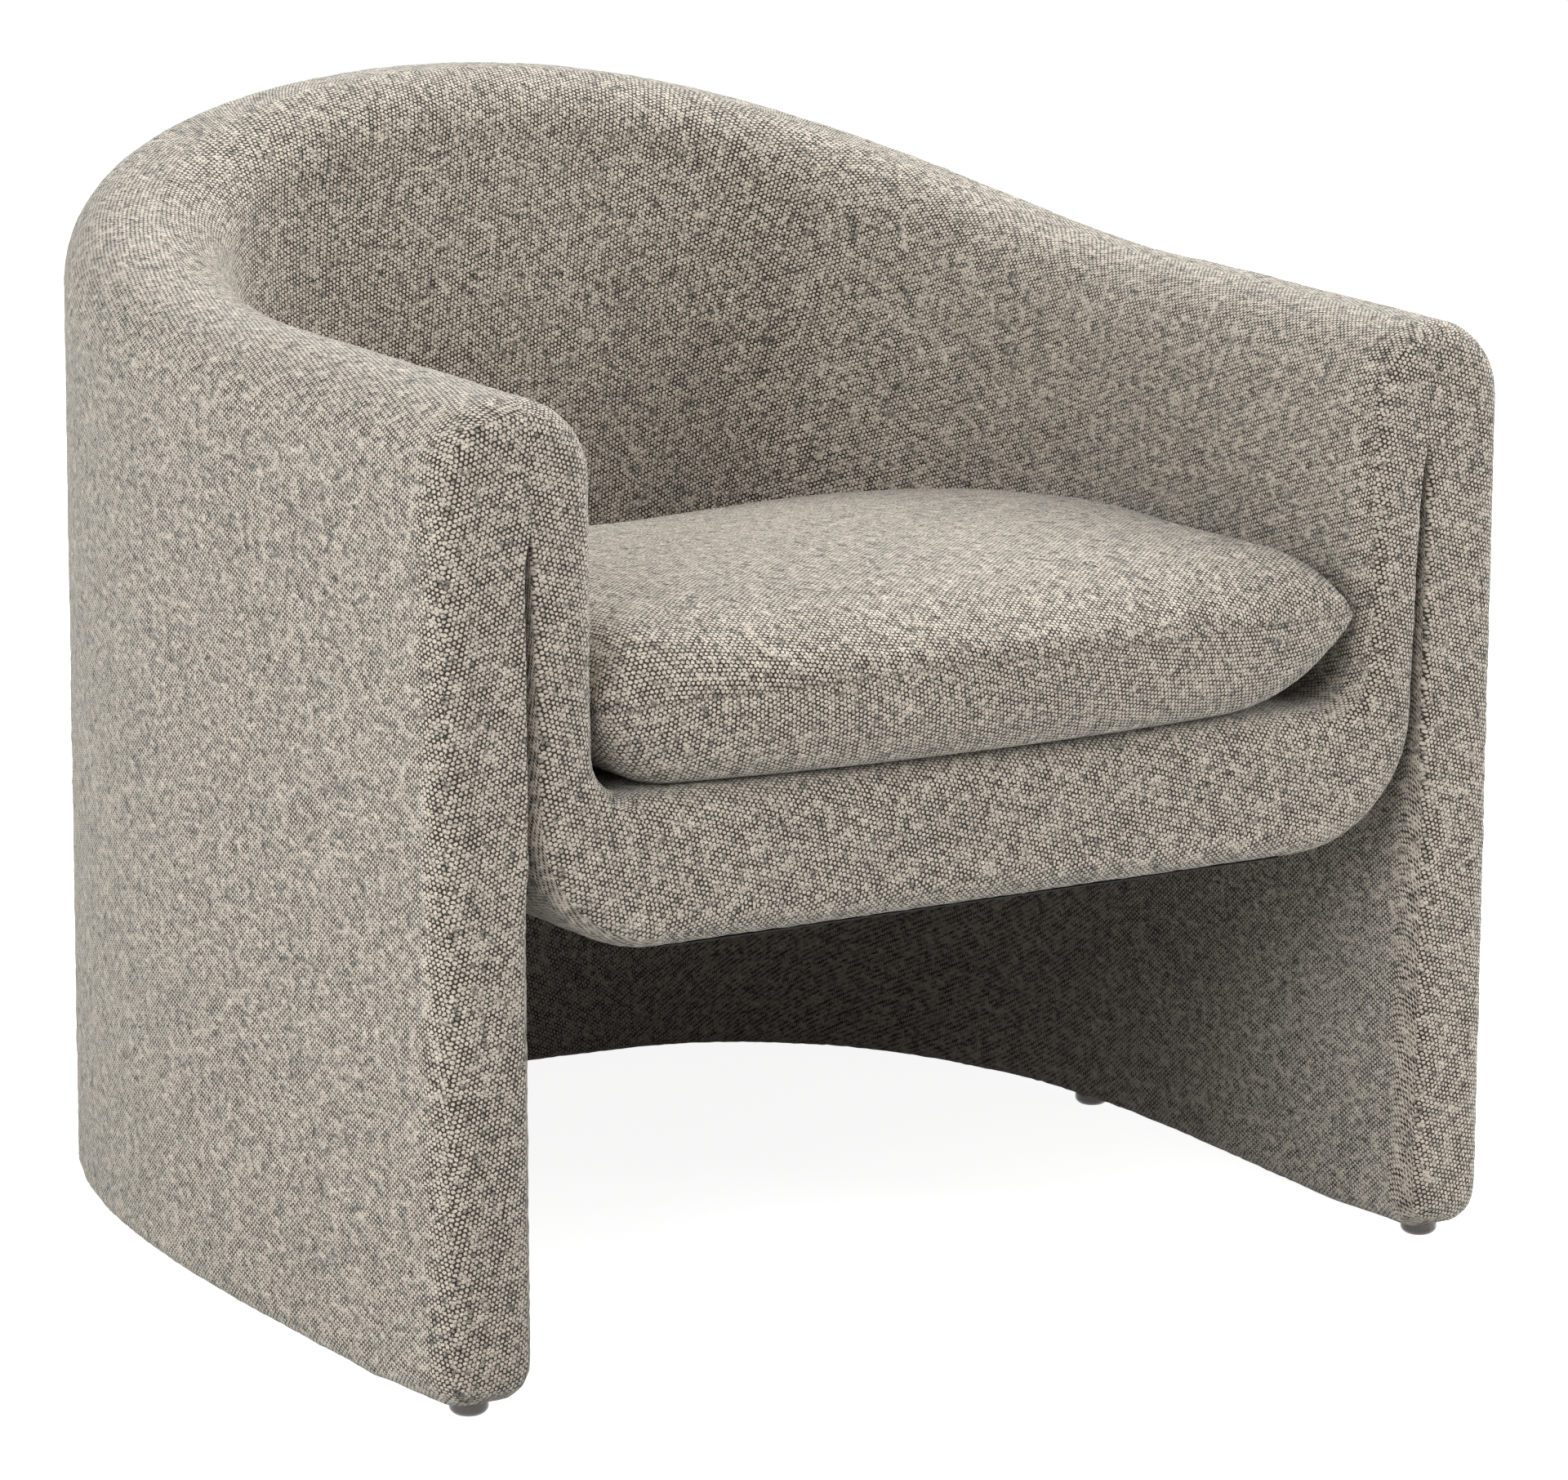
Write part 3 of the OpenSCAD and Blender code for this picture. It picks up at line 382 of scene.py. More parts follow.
def wallSection(u):
    # The outside from the foot's middle up to the crown, then the groove's side and the foot's inside
    t, f, r, z = upperT(u), lowerT(u), footRadius(u), rimZ(u)
    low, rim, share = wall["gap"], wall["rim"], wall["groove"] / plan["frontRound"]
    outside = ([(f / 2, low, 1)] + arc((r, low + r), r, -90, -180, 6) + arc((rim, z - rim), rim, 180, 90, 14)
               + [(n, crownZ(n, u), s) for n, s in zip(np.linspace(rim, t, 5)[1:], (0.75, 0.5, 0.25, 0))])
    lean = wall["lean"] * smooth(u / wall["leanShare"])
    outside = [(n + lean * h / z * max(0, 1 - n / t), h, s) for n, h, s in outside]
    ledge = [tub["bottom"] + x for x in wall["ledge"]]
    inside = ([(t, z - wall["grooveDrop"] + wall["grooveFade"], 0), (t, z - wall["grooveDrop"], share),
               (t, ledge[1], share), (f, ledge[0], 1)] + arc((f - r, low + r), r, 0, -90, 6))
    return np.array(outside + inside), len(outside) - 1


def tubSection(u):
    # From under the seat up the groove's side, over the rim and down to the deck
    t, s, r, z = upperT(u), seatT(u), rimT(u), rimZ(u)
    rim, share = wall["rim"], wall["groove"] / plan["frontRound"]
    outside = (arc((t + tub["corner"], tub["bottom"] + tub["corner"]), tub["corner"], -90, -180, 18)
               + [(t, z - wall["grooveDrop"], share), (t, z - wall["grooveDrop"] + wall["grooveFade"], 0)])
    top = math.degrees(math.acos((t - r + rim) / rim))
    roll = arc((r - rim, z - rim), rim, top, 0, 14)
    fade = [(n, h, clamp((n - t) / tub["rollFade"])) for n, h, _ in roll]
    inside = fade + arc((s + tub["fillet"], tub["deck"] + tub["fillet"]), tub["fillet"], 180, 270, 8)
    return np.array(outside + inside), len(outside)


def insetSection(section, inset, closed):
    # A mitred offset, taken in full in height and by each row's share in depth
    p = section[:, :2]
    before, after = np.roll(p, 1, 0), np.roll(p, -1, 0)
    if not closed:
        before[0], after[-1] = 2 * p[0] - p[1], 2 * p[-1] - p[-2]
        before[0][1], after[-1][1] = p[0][1], p[-1][1]
    a, b = p - before, after - p
    a, b = [np.stack((v[:, 1], -v[:, 0]), 1) / np.linalg.norm(v, axis=1)[:, None] for v in (a, b)]
    m = (a + b) / (1 + (a * b).sum(1))[:, None]
    moved = p.copy()
    moved[:, 0] += m[:, 0] * inset * section[:, 2]
    moved[:, 1] += m[:, 1] * inset
    return moved


def resampled(path, count):
    run = runOf(path)
    at = np.linspace(0, run[-1], count + 1)
    return np.stack([np.interp(at, run, path[:, k]) for k in range(path.shape[1])], 1)


def fineLine(line, spacing):
    return resampled(line, round(runOf(line)[-1] / spacing))


def sweptGrid(around, sectionAt, rows, closed):
    # Each section has as many rows before its crown as after it
    grid = []
    for point, inward, share, inset in around:
        section, crown = sectionAt(share)
        moved = insetSection(section, inset, closed)
        far = np.concatenate((moved[crown:], moved[:1])) if closed else moved[crown:]
        loop = np.concatenate((resampled(moved[:crown + 1], rows), resampled(far, rows)[1:]))
        grid.append(np.column_stack((point + loop[:, :1] * inward, loop[:, 1])))
    return np.array(grid)


def gridFaces(shape):
    index = np.arange(shape[0] * shape[1]).reshape(shape)
    return np.stack((index[:-1, :-1], index[1:, :-1], index[1:, 1:], index[:-1, 1:]), -1).reshape(-1, 4)


def between(first, second, steps):
    s = np.linspace(0, 1, steps + 1)[None, :, None]
    return first[:, None, :] * (1 - s) + second[:, None, :] * s


weld = 1e-6


def objectFrom(name, bm):
    mesh = bpy.data.meshes.new(name)
    bm.to_mesh(mesh)
    bm.free()
    made = bpy.data.objects.new(name, mesh)
    bpy.context.scene.collection.objects.link(made)
    return made


def meshFrom(name, sheets):
    # Each sheet is a grid of points and their places on the flat cloth, in metres
    bm = bmesh.new()
    cloth = bm.loops.layers.uv.new("cloth")
    for grid, flat in sheets:
        made = [bm.verts.new(p) for p in grid.reshape(-1, 3)]
        flat = flat.reshape(-1, 2)
        for face in gridFaces(grid.shape[:2]):
            for k, loop in zip(face, bm.faces.new([made[k] for k in face]).loops):
                loop[cloth].uv = flat[k]
    bmesh.ops.remove_doubles(bm, verts=bm.verts, dist=weld)
    bmesh.ops.dissolve_degenerate(bm, edges=bm.edges, dist=weld)
    for face in bmesh.ops.holes_fill(bm, edges=[e for e in bm.edges if e.is_boundary])["faces"]:
        for loop in face.loops:
            loop[cloth].uv = loop.vert.co.xy
    bmesh.ops.triangulate(bm, faces=[f for f in bm.faces if len(f.verts) > 4])
    bmesh.ops.recalc_face_normals(bm, faces=bm.faces)
    return objectFrom(name, bm)


def runAlong(grid, axis):
    gone = np.cumsum(np.linalg.norm(np.diff(grid, axis=axis), axis=2), axis=axis)
    return np.concatenate((np.zeros_like(gone.take([0], axis)), gone), axis)


def flatSwept(grid, level, side):
    # Along the chair by the run of one row, and up or down each section from that row's height
    across = runAlong(grid, 1)
    across = side * (across - across[:, level:level + 1]) + grid[:, level:level + 1, 2]
    return np.stack(np.broadcast_arrays(runAlong(grid, 0)[:, level:level + 1], across), -1)


def flatFront(grid, edge, side):
    # The front faces go on from the flat cloth at their outer edge
    return np.stack((edge[0] + side * (grid[..., 0] - edge[1]), edge[2] + grid[..., 2]), -1)


def alone(obj):
    bpy.ops.object.select_all(action="DESELECT")
    obj.select_set(True)
    bpy.context.view_layer.objects.active = obj


def applyAll(obj):
    alone(obj)
    for modifier in list(obj.modifiers):
        bpy.ops.object.modifier_apply(modifier=modifier.name)


def points(obj):
    co = np.zeros(len(obj.data.vertices) * 3, np.float32)
    obj.data.vertices.foreach_get("co", co)
    return co.reshape(-1, 3).astype(float)


nap = {
    "size": 0.007, "height": 0.0012, "swell": 0.035, "swellHeight": 0.0012, "crownFade": 0.012, "seamFade": 0.006,
    "least": 0.4,
}


def addNap(obj, weights):
    # Nubs that break up the outline, and the slight unevenness of padding under them
    group = obj.vertex_groups.new(name="nap")
    weights = np.round(weights, 1)
    for value in np.unique(weights):
        group.add([int(k) for k in np.flatnonzero(weights == value)], float(value), "REPLACE")
    for name, basis, size, height in (("swell", "IMPROVED_PERLIN", nap["swell"], nap["swellHeight"]),
                                      ("nubs", "VORONOI_F1", nap["size"], nap["height"])):
        texture = bpy.data.textures.new(name, "CLOUDS")
        texture.noise_scale, texture.noise_depth, texture.noise_basis = size, 1, basis
        modifier = obj.modifiers.new(name, "DISPLACE")
        modifier.texture, modifier.texture_coords = texture, "LOCAL"
        modifier.strength, modifier.mid_level, modifier.vertex_group = height, 0.5, "nap"
    applyAll(obj)
    obj.vertex_groups.clear()


def dressed(obj, material, body="frame", angle=50):
    alone(obj)
    bpy.ops.object.shade_smooth_by_angle(angle=math.radians(angle))
    obj.data.materials.clear()
    obj.data.materials.append(material)
    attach(obj, body)


def treeOf(line):
    tree = KDTree(len(line))
    for k, p in enumerate(line):
        tree.insert(p, k)
    tree.balance()
    return tree


def napWeights(obj, crown):
    # The two covers meet along the crown, so the nap fades out there
    tree = treeOf(crown)
    return np.array([clamp(tree.find(p)[2] / nap["crownFade"]) for p in points(obj)])


def capsOf(grid, rows, rungs):
    return [between(g[:rows + 1], g[:rows - 1:-1], rungs) for g in (grid[0], grid[-1])]


def sheetsOf(grid, flat):
    # The sweep without the front half of each rounding, and the two halves, which go with the flat fronts
    cut = plan["flatSteps"]
    return (grid[cut:-cut], flat[cut:-cut]), (grid[:cut + 1], grid[-cut - 1:])


around = stations()
wallGrid = sweptGrid(around, wallSection, wall["rows"], True)
outer = wall["rows"] // 2
wallFlat = flatSwept(wallGrid, outer, 1)
swept, roundings = sheetsOf(wallGrid, wallFlat)
fronts = []
for cap, rounding, end, side in zip(capsOf(wallGrid, wall["rows"], wall["rungs"]), roundings, (0, -1), (1, -1)):
    edge = (wallFlat[end, outer, 0], wallGrid[end, outer, 0], wallFlat[end, outer, 1] - wallGrid[end, outer, 2])
    fronts += [(g, flatFront(g, edge, side)) for g in (cap, rounding)]
wallCover = meshFrom("wallCover", [swept] + fronts)
addNap(wallCover, napWeights(wallCover, wallGrid[:, wall["rows"]]))
dressed(wallCover, boucleCloth)
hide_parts("wall_cover", "wall_foam")
print("wall cover:", len(wallCover.data.polygons), "faces")

rows = tub["rows"]
tubGrid = sweptGrid(around, tubSection, rows, False)
swept, roundings = sheetsOf(tubGrid, flatSwept(tubGrid, rows + rows // 2, -1))
caps = capsOf(tubGrid, rows, tub["rungs"])
ends = plan["endSteps"] + 1
deckFront = between(tubGrid[:ends, -1], tubGrid[::-1][:ends, -1], tub["columns"])
underFront = between(tubGrid[:ends, 0], tubGrid[::-1][:ends, 0], tub["columns"])
band = between(caps[0][0], caps[1][0], tub["columns"])
sheets = [swept] + [(g, flatFront(g, (0, 0, 0), 1)) for g in (band, *caps, *roundings)]
sheets += [(g, runAlong(g, 0)[:, :1, None] * (0, 1) + g[..., :1] * (1, 0)) for g in (deckFront, underFront)]
tubCover = meshFrom("tubCover", sheets)
addNap(tubCover, napWeights(tubCover, tubGrid[:, rows]))
dressed(tubCover, boucleCloth)
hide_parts("tub_cover", "tub_foam", "deck_foam")
print("tub cover:", len(tubCover.data.polygons), "faces")


# Loose cushion: a knife-edge seam all round, blown up by a cloth simulation

cushion = {
    "thick": 0.102, "clear": 0.003, "gap": 0.0003, "bow": 0.028, "tipBack": 0.006, "draw": 0.004, "middle": 0.38,
    "seam": 0.053, "tipLift": 0.007, "arch": 0.009, "backDrop": 0.005, "seamStep": 0.001,
    "front": 0.13, "frontFull": 2.3, "side": 0.046, "tip": 0.055, "crown": 0.002, "crownY": -0.17,
    "backFall": 0.97, "fallPower": 1.6, "rightFall": 0.70, "start": 0.95,
    "under": 0.034, "underSides": (0.055, 0.100), "underBlend": 0.2,
    "frontSteps": 60, "sideSteps": 45, "turnSteps": 120, "rings": 22, "ringPower": 1.6, "sideStep": 0.003,
    "voxel": 0.005, "seamWide": 0.003, "seamDeep": 0.0010, "lineShare": 0.45,
}
blowing = {
    "pressure": 0.3, "bending": 0.3, "frames": 20, "most": 0.004, "held": 0.004, "heldFade": 0.012, "lying": 0.002,
}
tipY = plan["front"] + cushion["tipBack"]
backY = plan["back"] - tub["seatBack"]
middle = np.array((0, lerp(plan["front"], plan["back"], cushion["middle"])))


def cushionHalf(y):
    return armX(min(y, plan["turnY"])) - tub["arm"] - cushion["clear"]


def frontEdge(x):
    return tipY - cushion["bow"] * (1 - (x / cushionHalf(tipY)) ** 2)


def cushionPlan():
    half = cushionHalf(tipY)
    front = [(x, frontEdge(x)) for x in np.linspace(half, -half, cushion["frontSteps"] + 1)]
    reach = plan["turnY"] - tipY
    side = [(cushionHalf(y) - cushion["draw"] * math.sin(math.pi * (y - tipY) / reach), y)
            for y in np.linspace(tipY, plan["turnY"], cushion["sideSteps"] + 1)[1:-1]]
    turn = []
    for a in np.linspace(math.pi, 0, cushion["turnSteps"] + 1):
        point, inward, share, _ = turnStation(a)
        turn.append(tuple(point + inward * (seatT(share) + cushion["clear"])))
    return np.array(front + [(-x, y) for x, y in side] + turn + side[::-1])


def bulge(s, power=2.0):
    return max(0, 1 - (1 - clamp(s)) ** power) ** (1 / power)


def seamZ(p):
    # The front seam arches a little, the right tip stands up, and the back lies lower
    toFront = clamp((middle[1] - p[1]) / (middle[1] - tipY))
    toBack = clamp((p[1] - middle[1]) / (backY - middle[1]))
    x = max(-1.0, min(1.0, p[0] / cushionHalf(tipY)))
    return (tub["deck"] + cushion["seam"]
            + toFront * (cushion["tipLift"] * max(0, x) ** 2 + cushion["arch"] * (1 - x ** 2))
            - toBack * cushion["backDrop"])


def topZ(p, inward):
    # Full close to the seam and the tips, highest near the front, falling to the back and less so on the right
    across = p[0] / cushionHalf(p[1])
    away = p[1] - frontEdge(p[0])
    full = lerp(bulge(away / cushion["front"], cushion["frontFull"]), bulge(away / cushion["tip"]),
                clamp(abs(across)) ** 2)
    full *= bulge(inward / cushion["side"])
    fall = cushion["backFall"] * lerp(1, cushion["rightFall"], clamp(across))
    full *= 1 - fall * clamp((p[1] - cushion["crownY"]) / (backY - cushion["crownY"])) ** cushion["fallPower"]
    low = seamZ(p)
    return low + (tub["deck"] + cushion["thick"] + cushion["crown"] - low) * full * cushion["start"]


def underZ(p, inward):
    side = lerp(*cushion["underSides"], smooth(0.5 + p[0] / cushion["underBlend"]))
    full = bulge((p[1] - frontEdge(p[0])) / cushion["under"]) * bulge(inward / side)
    low = seamZ(p)
    return low + (tub["deck"] + cushion["gap"] - low) * full


def cushionForm(seamLine):
    # Rings from the seam to the middle, one set for the top and one for the underside
    sides = treeOf([(*p, 0) for p in fineLine(seamLine[cushion["frontSteps"]:], cushion["sideStep"])])
    grids = ([], [])
    for g in np.linspace(0, 1, cushion["rings"] + 1)[:-1] ** cushion["ringPower"]:
        ring = seamLine + (middle - seamLine) * g
        inward = [sides.find((*p, 0))[2] if g else 0.0 for p in ring]
        for grid, height in zip(grids, (topZ, underZ)):
            grid.append([(*p, height(p, d)) for p, d in zip(ring, inward)])
    grids = [np.array(grid) for grid in grids]
    return [np.concatenate((grid, grid[:, :1]), 1) for grid in grids]


seamLine = cushionPlan()
forms = cushionForm(seamLine)
cushionCover = meshFrom("cushionCover", [(g, g[..., :2]) for g in forms])
alone(cushionCover)
remesh = cushionCover.modifiers.new("remesh", "REMESH")
remesh.mode, remesh.voxel_size = "VOXEL", cushion["voxel"]
applyAll(cushionCover)
closedSeam = fineLine(np.concatenate((seamLine, seamLine[:1])), cushion["seamStep"])
seamTree = treeOf([(*p, seamZ(p)) for p in closedSeam])
print("cushion form:", len(cushionCover.data.vertices), "points")


def isTop(face):
    centre = face.calc_center_median()
    return centre.z > seamZ(centre)


def layCloth(obj):
    # Two panels cut along the seam and flattened, at their true size
    bm = bmesh.new()
    bm.from_mesh(obj.data)
    bm.loops.layers.uv.new("cloth")
    for edge in bm.edges:
        edge.seam = len({isTop(face) for face in edge.link_faces}) > 1
    bm.to_mesh(obj.data)
    bm.free()
    alone(obj)
    bpy.ops.object.mode_set(mode="EDIT")
    bpy.ops.mesh.select_all(action="SELECT")
    bpy.ops.uv.unwrap(method="ANGLE_BASED", margin=0)
    bpy.ops.object.mode_set(mode="OBJECT")
    bm = bmesh.new()
    bm.from_mesh(obj.data)
    cloth = bm.loops.layers.uv["cloth"]
    for top in (True, False):
        panel = [face for face in bm.faces if isTop(face) == top]
        flat = 0.0
        for face in panel:
            places = [loop[cloth].uv for loop in face.loops]
            flat += abs(sum(a.cross(b) for a, b in zip(places, places[1:] + places[:1]))) / 2
        growth = math.sqrt(sum(face.calc_area() for face in panel) / flat)
        for face in panel:
            for loop in face.loops:
                loop[cloth].uv = loop[cloth].uv * growth
    bm.to_mesh(obj.data)
    bm.free()


def blowUp(obj):
    rest = points(obj)
    group = obj.vertex_groups.new(name="held")
    for k, p in enumerate(rest):
        away = seamTree.find(p)[2]
        lying = p[2] < tub["deck"] + blowing["lying"]
        held = 1.0 if lying else clamp(1 - (away - blowing["held"]) / blowing["heldFade"])
        if held > 0:
            group.add([k], held, "REPLACE")
    cloth = obj.modifiers.new("cloth", "CLOTH")
    cloth.settings.use_pressure = True
    cloth.settings.uniform_pressure_force = blowing["pressure"]
    cloth.settings.effector_weights.gravity = 0
    cloth.settings.vertex_group_mass = "held"
    cloth.settings.bending_stiffness = blowing["bending"]
    cloth.collision_settings.use_collision = False
    scene = bpy.context.scene
    cloth.point_cache.frame_start, cloth.point_cache.frame_end = 1, blowing["frames"]
    for k in range(1, blowing["frames"] + 1):
        scene.frame_set(k)
    applyAll(obj)
    scene.frame_set(1)
    moved = points(obj) - rest
    far = np.linalg.norm(moved, axis=1)
    print("cushion blown up: moved", round(far.max() * 1000, 1), "mm at most")
    moved *= (np.minimum(far, blowing["most"]) / np.maximum(far, 1e-9))[:, None]
    obj.data.vertices.foreach_set("co", (rest + moved).astype(np.float32).ravel())
    obj.vertex_groups.clear()


layCloth(cushionCover)
print("cushion panels flattened")
blowUp(cushionCover)
cushionCover.modifiers.new("smooth", "SUBSURF").levels = 1
cushionCover.modifiers["smooth"].render_levels = 1
applyAll(cushionCover)


def sewSeam(obj):
    co = points(obj)
    normals = np.array([v.normal for v in obj.data.vertices])
    away = np.array([seamTree.find(p)[2] for p in co])
    dip = np.exp(-(away / cushion["seamWide"]) ** 2)
    co -= normals * (dip * cushion["seamDeep"])[:, None]
    obj.data.vertices.foreach_set("co", co.astype(np.float32).ravel())
    # The seam attribute is the mask of the painted shade along the seam's crease, as well as the groove's dip
    line = obj.data.attributes.new("seam", "FLOAT", "POINT")
    wide = cushion["seamWide"] * cushion["lineShare"]
    line.data.foreach_set("value", np.exp(-(away / wide) ** 2).astype(np.float32))
    return away, co


away, co = sewSeam(cushionCover)
raised = np.clip((co[:, 2] - tub["deck"] - blowing["lying"]) / nap["seamFade"], 0, 1)
addNap(cushionCover, raised * np.clip(away / nap["seamFade"], nap["least"], 1))
dressed(cushionCover, cushionCloth, "cushion", 70)
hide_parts("cushion_cover", "cushion_core")
print("cushion:", len(cushionCover.data.polygons), "faces")


# Glides: moulded discs with a small flat, under the wall's lower edge

glide = {
    "radius": 0.012, "flat": 0.0075, "high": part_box("glides")[1].z, "frontBack": 0.031, "sides": 48,
    "bevelShare": 0.95, "bevelSteps": 6, "bevelForm": 0.42, "soften": 0.0008,
    "places": ((0.0, 0.5), (0.208, 0.69), (0.773, 0.48)),
}


def glideSpots():
    # Each place is a share of the quarter turn and a share of the foot's thickness
    for turn, across in glide["places"]:
        a = turn * math.pi / 2
        station = turnStation(a) if turn else armStation(plan["front"] + glide["frontBack"], 1)
        x, y = station[0] + station[1] * lowerT(station[2]) * across
        yield x, y
        yield -x, y


def selectFacing(obj, up):
    bm = bmesh.from_edit_mesh(obj.data)
    for face in bm.faces:
        face.select_set(face.normal.z * up > 0.9)
    bmesh.update_edit_mesh(obj.data)


def addGlides():
    bpy.ops.object.select_all(action="DESELECT")
    bpy.ops.mesh.primitive_cylinder_add(vertices=glide["sides"], radius=glide["radius"], depth=glide["high"],
                                        location=(0, 0, glide["high"] / 2))
    first = bpy.context.object
    bpy.ops.object.transform_apply(location=True)
    bpy.ops.object.mode_set(mode="EDIT")
    bpy.ops.mesh.select_all(action="DESELECT")
    bpy.ops.mesh.select_mode(type="FACE")
    selectFacing(first, -1)
    bpy.ops.mesh.bevel(offset=(glide["radius"] - glide["flat"]) * glide["bevelShare"],
                       segments=glide["bevelSteps"], profile=glide["bevelForm"], affect="EDGES")
    selectFacing(first, 1)
    bpy.ops.mesh.bevel(offset=glide["soften"], segments=2, affect="EDGES")
    bpy.ops.object.mode_set(mode="OBJECT")
    shape = points(first)
    parts = []
    for x, y in glideSpots():
        part = first.copy()
        part.data = first.data.copy()
        part.data.vertices.foreach_set("co", (shape + (x, y, 0)).astype(np.float32).ravel())
        bpy.context.scene.collection.objects.link(part)
        parts.append(part)
    bpy.data.objects.remove(first)
    bpy.ops.object.select_all(action="DESELECT")
    for part in parts:
        part.select_set(True)
    bpy.context.view_layer.objects.active = parts[0]
    bpy.ops.object.join()
    parts[0].name = "glideDiscs"
    return parts[0]


def plasticFinish():
    finish = Finish("glidePlastic")
    cloud = finish.noise(finish.place(), 160, 3)
    scuff = finish.noise(finish.stretched(finish.place(), (900, 900, 120)), 1.0, 3)
    return finish.finished({
        "Base Color": finish.mix(cloud, (0.030, 0.022, 0.017), (0.085, 0.066, 0.052)),
        "Roughness": 0.16 + scuff * 0.2, "Coat Weight": 0.4, "Coat Roughness": 0.08, "IOR": 1.5})


glides = addGlides()
dressed(glides, plasticFinish(), angle=35)
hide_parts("glides")
print("glides:", len(glides.data.polygons), "faces")


# Thin cloths: the lining over the springs and the dust cover under the tub

cloths = {
    "deckLining": {"node": "deck_cloth", "slot": "lining_cloth", "dip": -0.0006, "tone": (0.70, 0.68, 0.63),
                   "on": ["sinuous_springs"]},
    "dustCover": {"node": "dust_cover", "slot": "dust_cloth", "dip": -0.0010, "tone": (0.018, 0.017, 0.017),
                  "on": ["front_rail"]},
}
clothMesh = {"thick": 0.0007, "spacing": 0.012, "rings": 12, "middle": 0.45, "last": 0.995, "hole": 0.01}


def outlineOf(node):
    # The plan of a flat CAD sheet, from the edges that only one of its lower faces has
    bm = bmesh.new()
    bm.from_mesh(nodes[node].data)
    bmesh.ops.remove_doubles(bm, verts=bm.verts, dist=weld)
    bmesh.ops.delete(bm, geom=[f for f in bm.faces if f.normal.z > -0.9], context="FACES")
    rim = {}
    for edge in bm.edges:
        if len(edge.link_faces) == 1:
            a, b = edge.verts
            rim.setdefault(a, []).append(b)
            rim.setdefault(b, []).append(a)
    first = next(iter(rim))
    loop, last = [first], None
    while True:
        following = [v for v in rim[loop[-1]] if v is not last][0]
        last = loop[-1]
        if following is first:
            break
        loop.append(following)
    line = np.array([v.co for v in loop])
    area = sum(f.calc_area() for f in bm.faces)
    bm.free()
    return line, area


def clothFinish(name, tone):
    finish = Finish(name)
    where = finish.place()
    fibres = finish.noise(finish.stretched(where, (900, 260, 900)), 1.0, 4, 0.7)
    pressed = finish.node("TexVoronoi", {}, {"Vector": where, "Scale": 420, "Randomness": 0.2}, "Distance")
    light = tuple(min(1.0, c * 1.5 + 0.01) for c in tone)
    return finish.finished({
        "Base Color": finish.mix(fibres, tone, light), "Roughness": 0.75 + fibres * 0.2,
        "Normal": finish.bump(pressed * 0.6 + fibres, 0.0004)})


def addCloth(name, look):
    line, area = outlineOf(look["node"])
    low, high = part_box(look["node"])
    line = fineLine(np.concatenate((line, line[:1])), clothMesh["spacing"])[:-1]
    mid = np.array(((low.x + high.x) / 2, lerp(low.y, high.y, clothMesh["middle"]), line[0][2]))
    grid = []
    for g in np.linspace(0, 1, clothMesh["rings"] + 1):
        ring = line + (mid - line) * min(g, clothMesh["last"])
        ring[:, 2] = (low.z + high.z) / 2 + look["dip"] * (1 - (1 - g) ** 2)
        grid.append(ring)
    grid = np.array(grid)
    grid = np.concatenate((grid, grid[:, :1]), 1)
    bm = bmesh.new()
    made = [bm.verts.new(p) for p in grid.reshape(-1, 3)]
    for face in gridFaces(grid.shape[:2]):
        bm.faces.new([made[k] for k in face])
    bmesh.ops.remove_doubles(bm, verts=bm.verts, dist=weld)
    inner = [e for e in bm.edges if e.is_boundary and (e.verts[0].co - Vector(mid)).length < clothMesh["hole"]]
    bmesh.ops.holes_fill(bm, edges=inner)
    bmesh.ops.recalc_face_normals(bm, faces=bm.faces)
    obj = objectFrom(name, bm)
    thick = obj.modifiers.new("thick", "SOLIDIFY")
    thick.thickness, thick.offset = clothMesh["thick"], 0
    applyAll(obj)
    dressed(obj, clothFinish(name, look["tone"]))
    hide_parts(look["node"])
    print(name, "flat size", round(high.x - low.x, 3), "x", round(high.y - low.y, 3), "area", round(area, 3))


for name, look in cloths.items():
    addCloth(name, look)


# Finishes of the frame inside

woodRings = 26.0


def woodFinish(name, pale, dark, along):
    # along is the stretch of the grain in each direction
    finish = Finish(name)
    where = finish.stretched(finish.place(), along)
    bend = finish.noise(where, 3, 2)
    rings = finish.node("TexWave", {"wave_type": "BANDS", "bands_direction": "DIAGONAL"}, {
        "Vector": where, "Scale": woodRings, "Distortion": 7, "Detail": 3, "Detail Scale": 1.4})
    fibre = finish.noise(finish.stretched(where, (9, 9, 9)), 40, 4, 0.7)
    grain = rings * 0.55 + fibre * 0.45
    tone = finish.mix(grain, pale, dark)
    tone = finish.mix(finish.step(bend, 0.35, 0.75) * 0.35, tone, dark)
    return finish.finished({
        "Base Color": tone, "Roughness": 0.62 + fibre * 0.2, "Normal": finish.bump(fibre + rings * 0.4, 0.0003)})


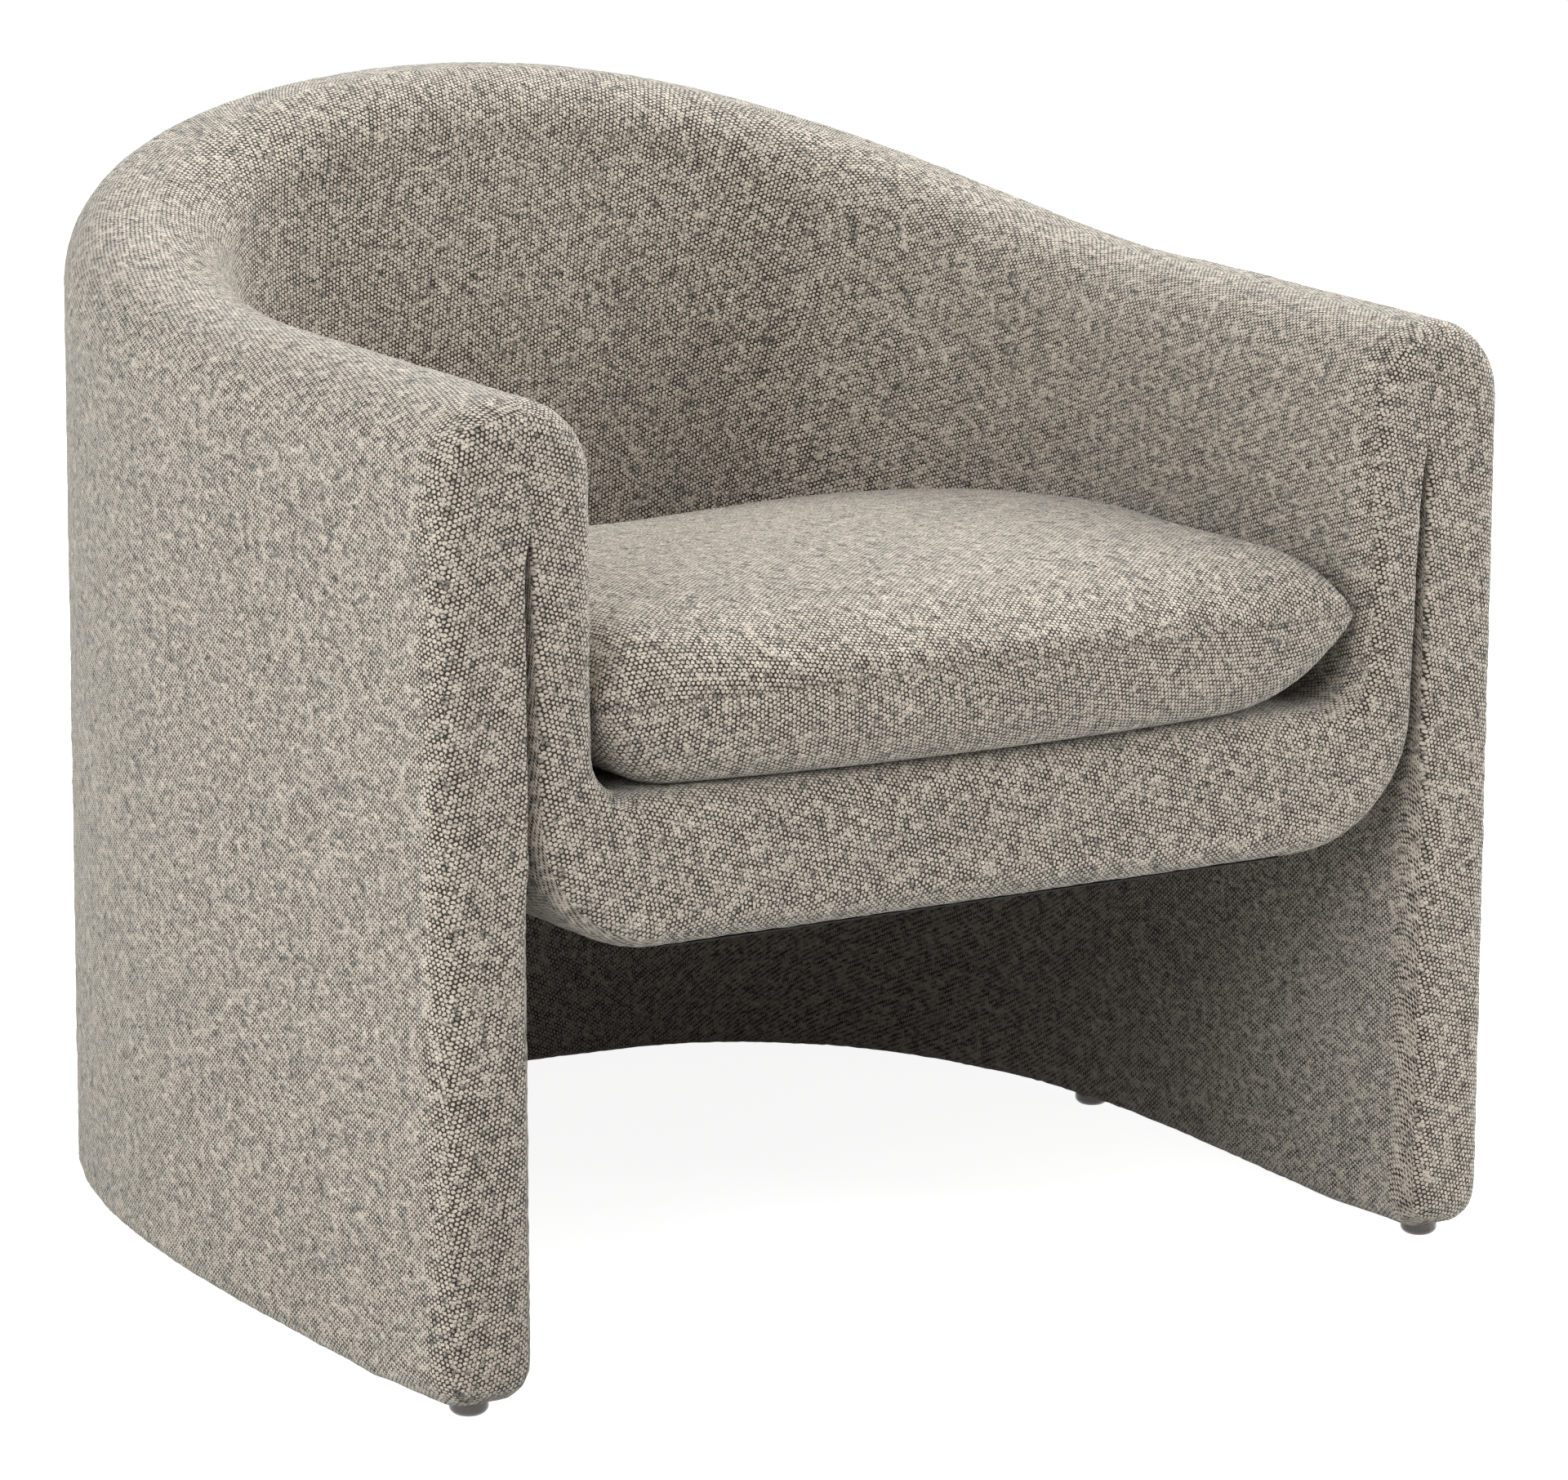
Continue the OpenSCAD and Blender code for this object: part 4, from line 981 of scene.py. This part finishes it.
def boardFinish(name, pale, dark):
    finish = Finish(name)
    where = finish.place()
    chips = finish.noise(where, 320, 5, 0.75)
    mottle = finish.noise(where, 24, 2)
    return finish.finished({
        "Base Color": finish.mix(chips * 0.7 + mottle * 0.3, dark, pale),
        "Roughness": 0.6 + chips * 0.3, "Normal": finish.bump(chips, 0.0003)})


def metalFinish(name, pale, dark, rough, streaks):
    finish = Finish(name)
    drawn = finish.noise(finish.stretched(finish.place(), streaks), 1.0, 3, 0.6)
    bloom = finish.noise(finish.place(), 70, 3)
    return finish.finished({
        "Base Color": finish.mix(drawn * 0.5 + bloom * 0.5, dark, pale), "Metallic": 0.9 + bloom * 0.1,
        "Roughness": rough + drawn * 0.18, "Normal": finish.bump(drawn, 0.00008)})


plywood = woodFinish("plywood", (0.62, 0.42, 0.24), (0.40, 0.24, 0.12), (1, 1, 30))
softwood = woodFinish("softwood", (0.72, 0.53, 0.31), (0.50, 0.32, 0.16), (6, 6, 0.6))
fibreboard = boardFinish("fibreboard", (0.22, 0.125, 0.062), (0.10, 0.055, 0.028))
springSteel = metalFinish("springSteel", (0.20, 0.20, 0.21), (0.07, 0.07, 0.075), 0.32, (700, 90, 700))
zincSteel = metalFinish("zincSteel", (0.62, 0.64, 0.66), (0.40, 0.42, 0.44), 0.28, (500, 500, 80))
brass = metalFinish("brass", (0.56, 0.38, 0.12), (0.36, 0.22, 0.06), 0.25, (500, 500, 500))
frameFinishes = {
    "base_plate": plywood, "ledge_plate": plywood, "top_rail": plywood, "seat_ring": plywood,
    "front_rail": plywood, "panel_ring": plywood, "lower_posts": softwood, "upper_posts": softwood,
    "corner_blocks": softwood, "outer_board": fibreboard, "inner_board": fibreboard, "inner_panel": fibreboard,
    "sinuous_springs": springSteel, "spring_clips": zincSteel, "glide_screws": zincSteel,
    "tub_bolts": zincSteel, "bolt_washers": zincSteel, "bolt_inserts": brass,
}
for node, material in frameFinishes.items():
    nodes[node].data.materials.clear()
    nodes[node].data.materials.append(material)
print("frame finishes:", len(frameFinishes))

bpy.context.scene.view_settings.view_transform = "Standard"
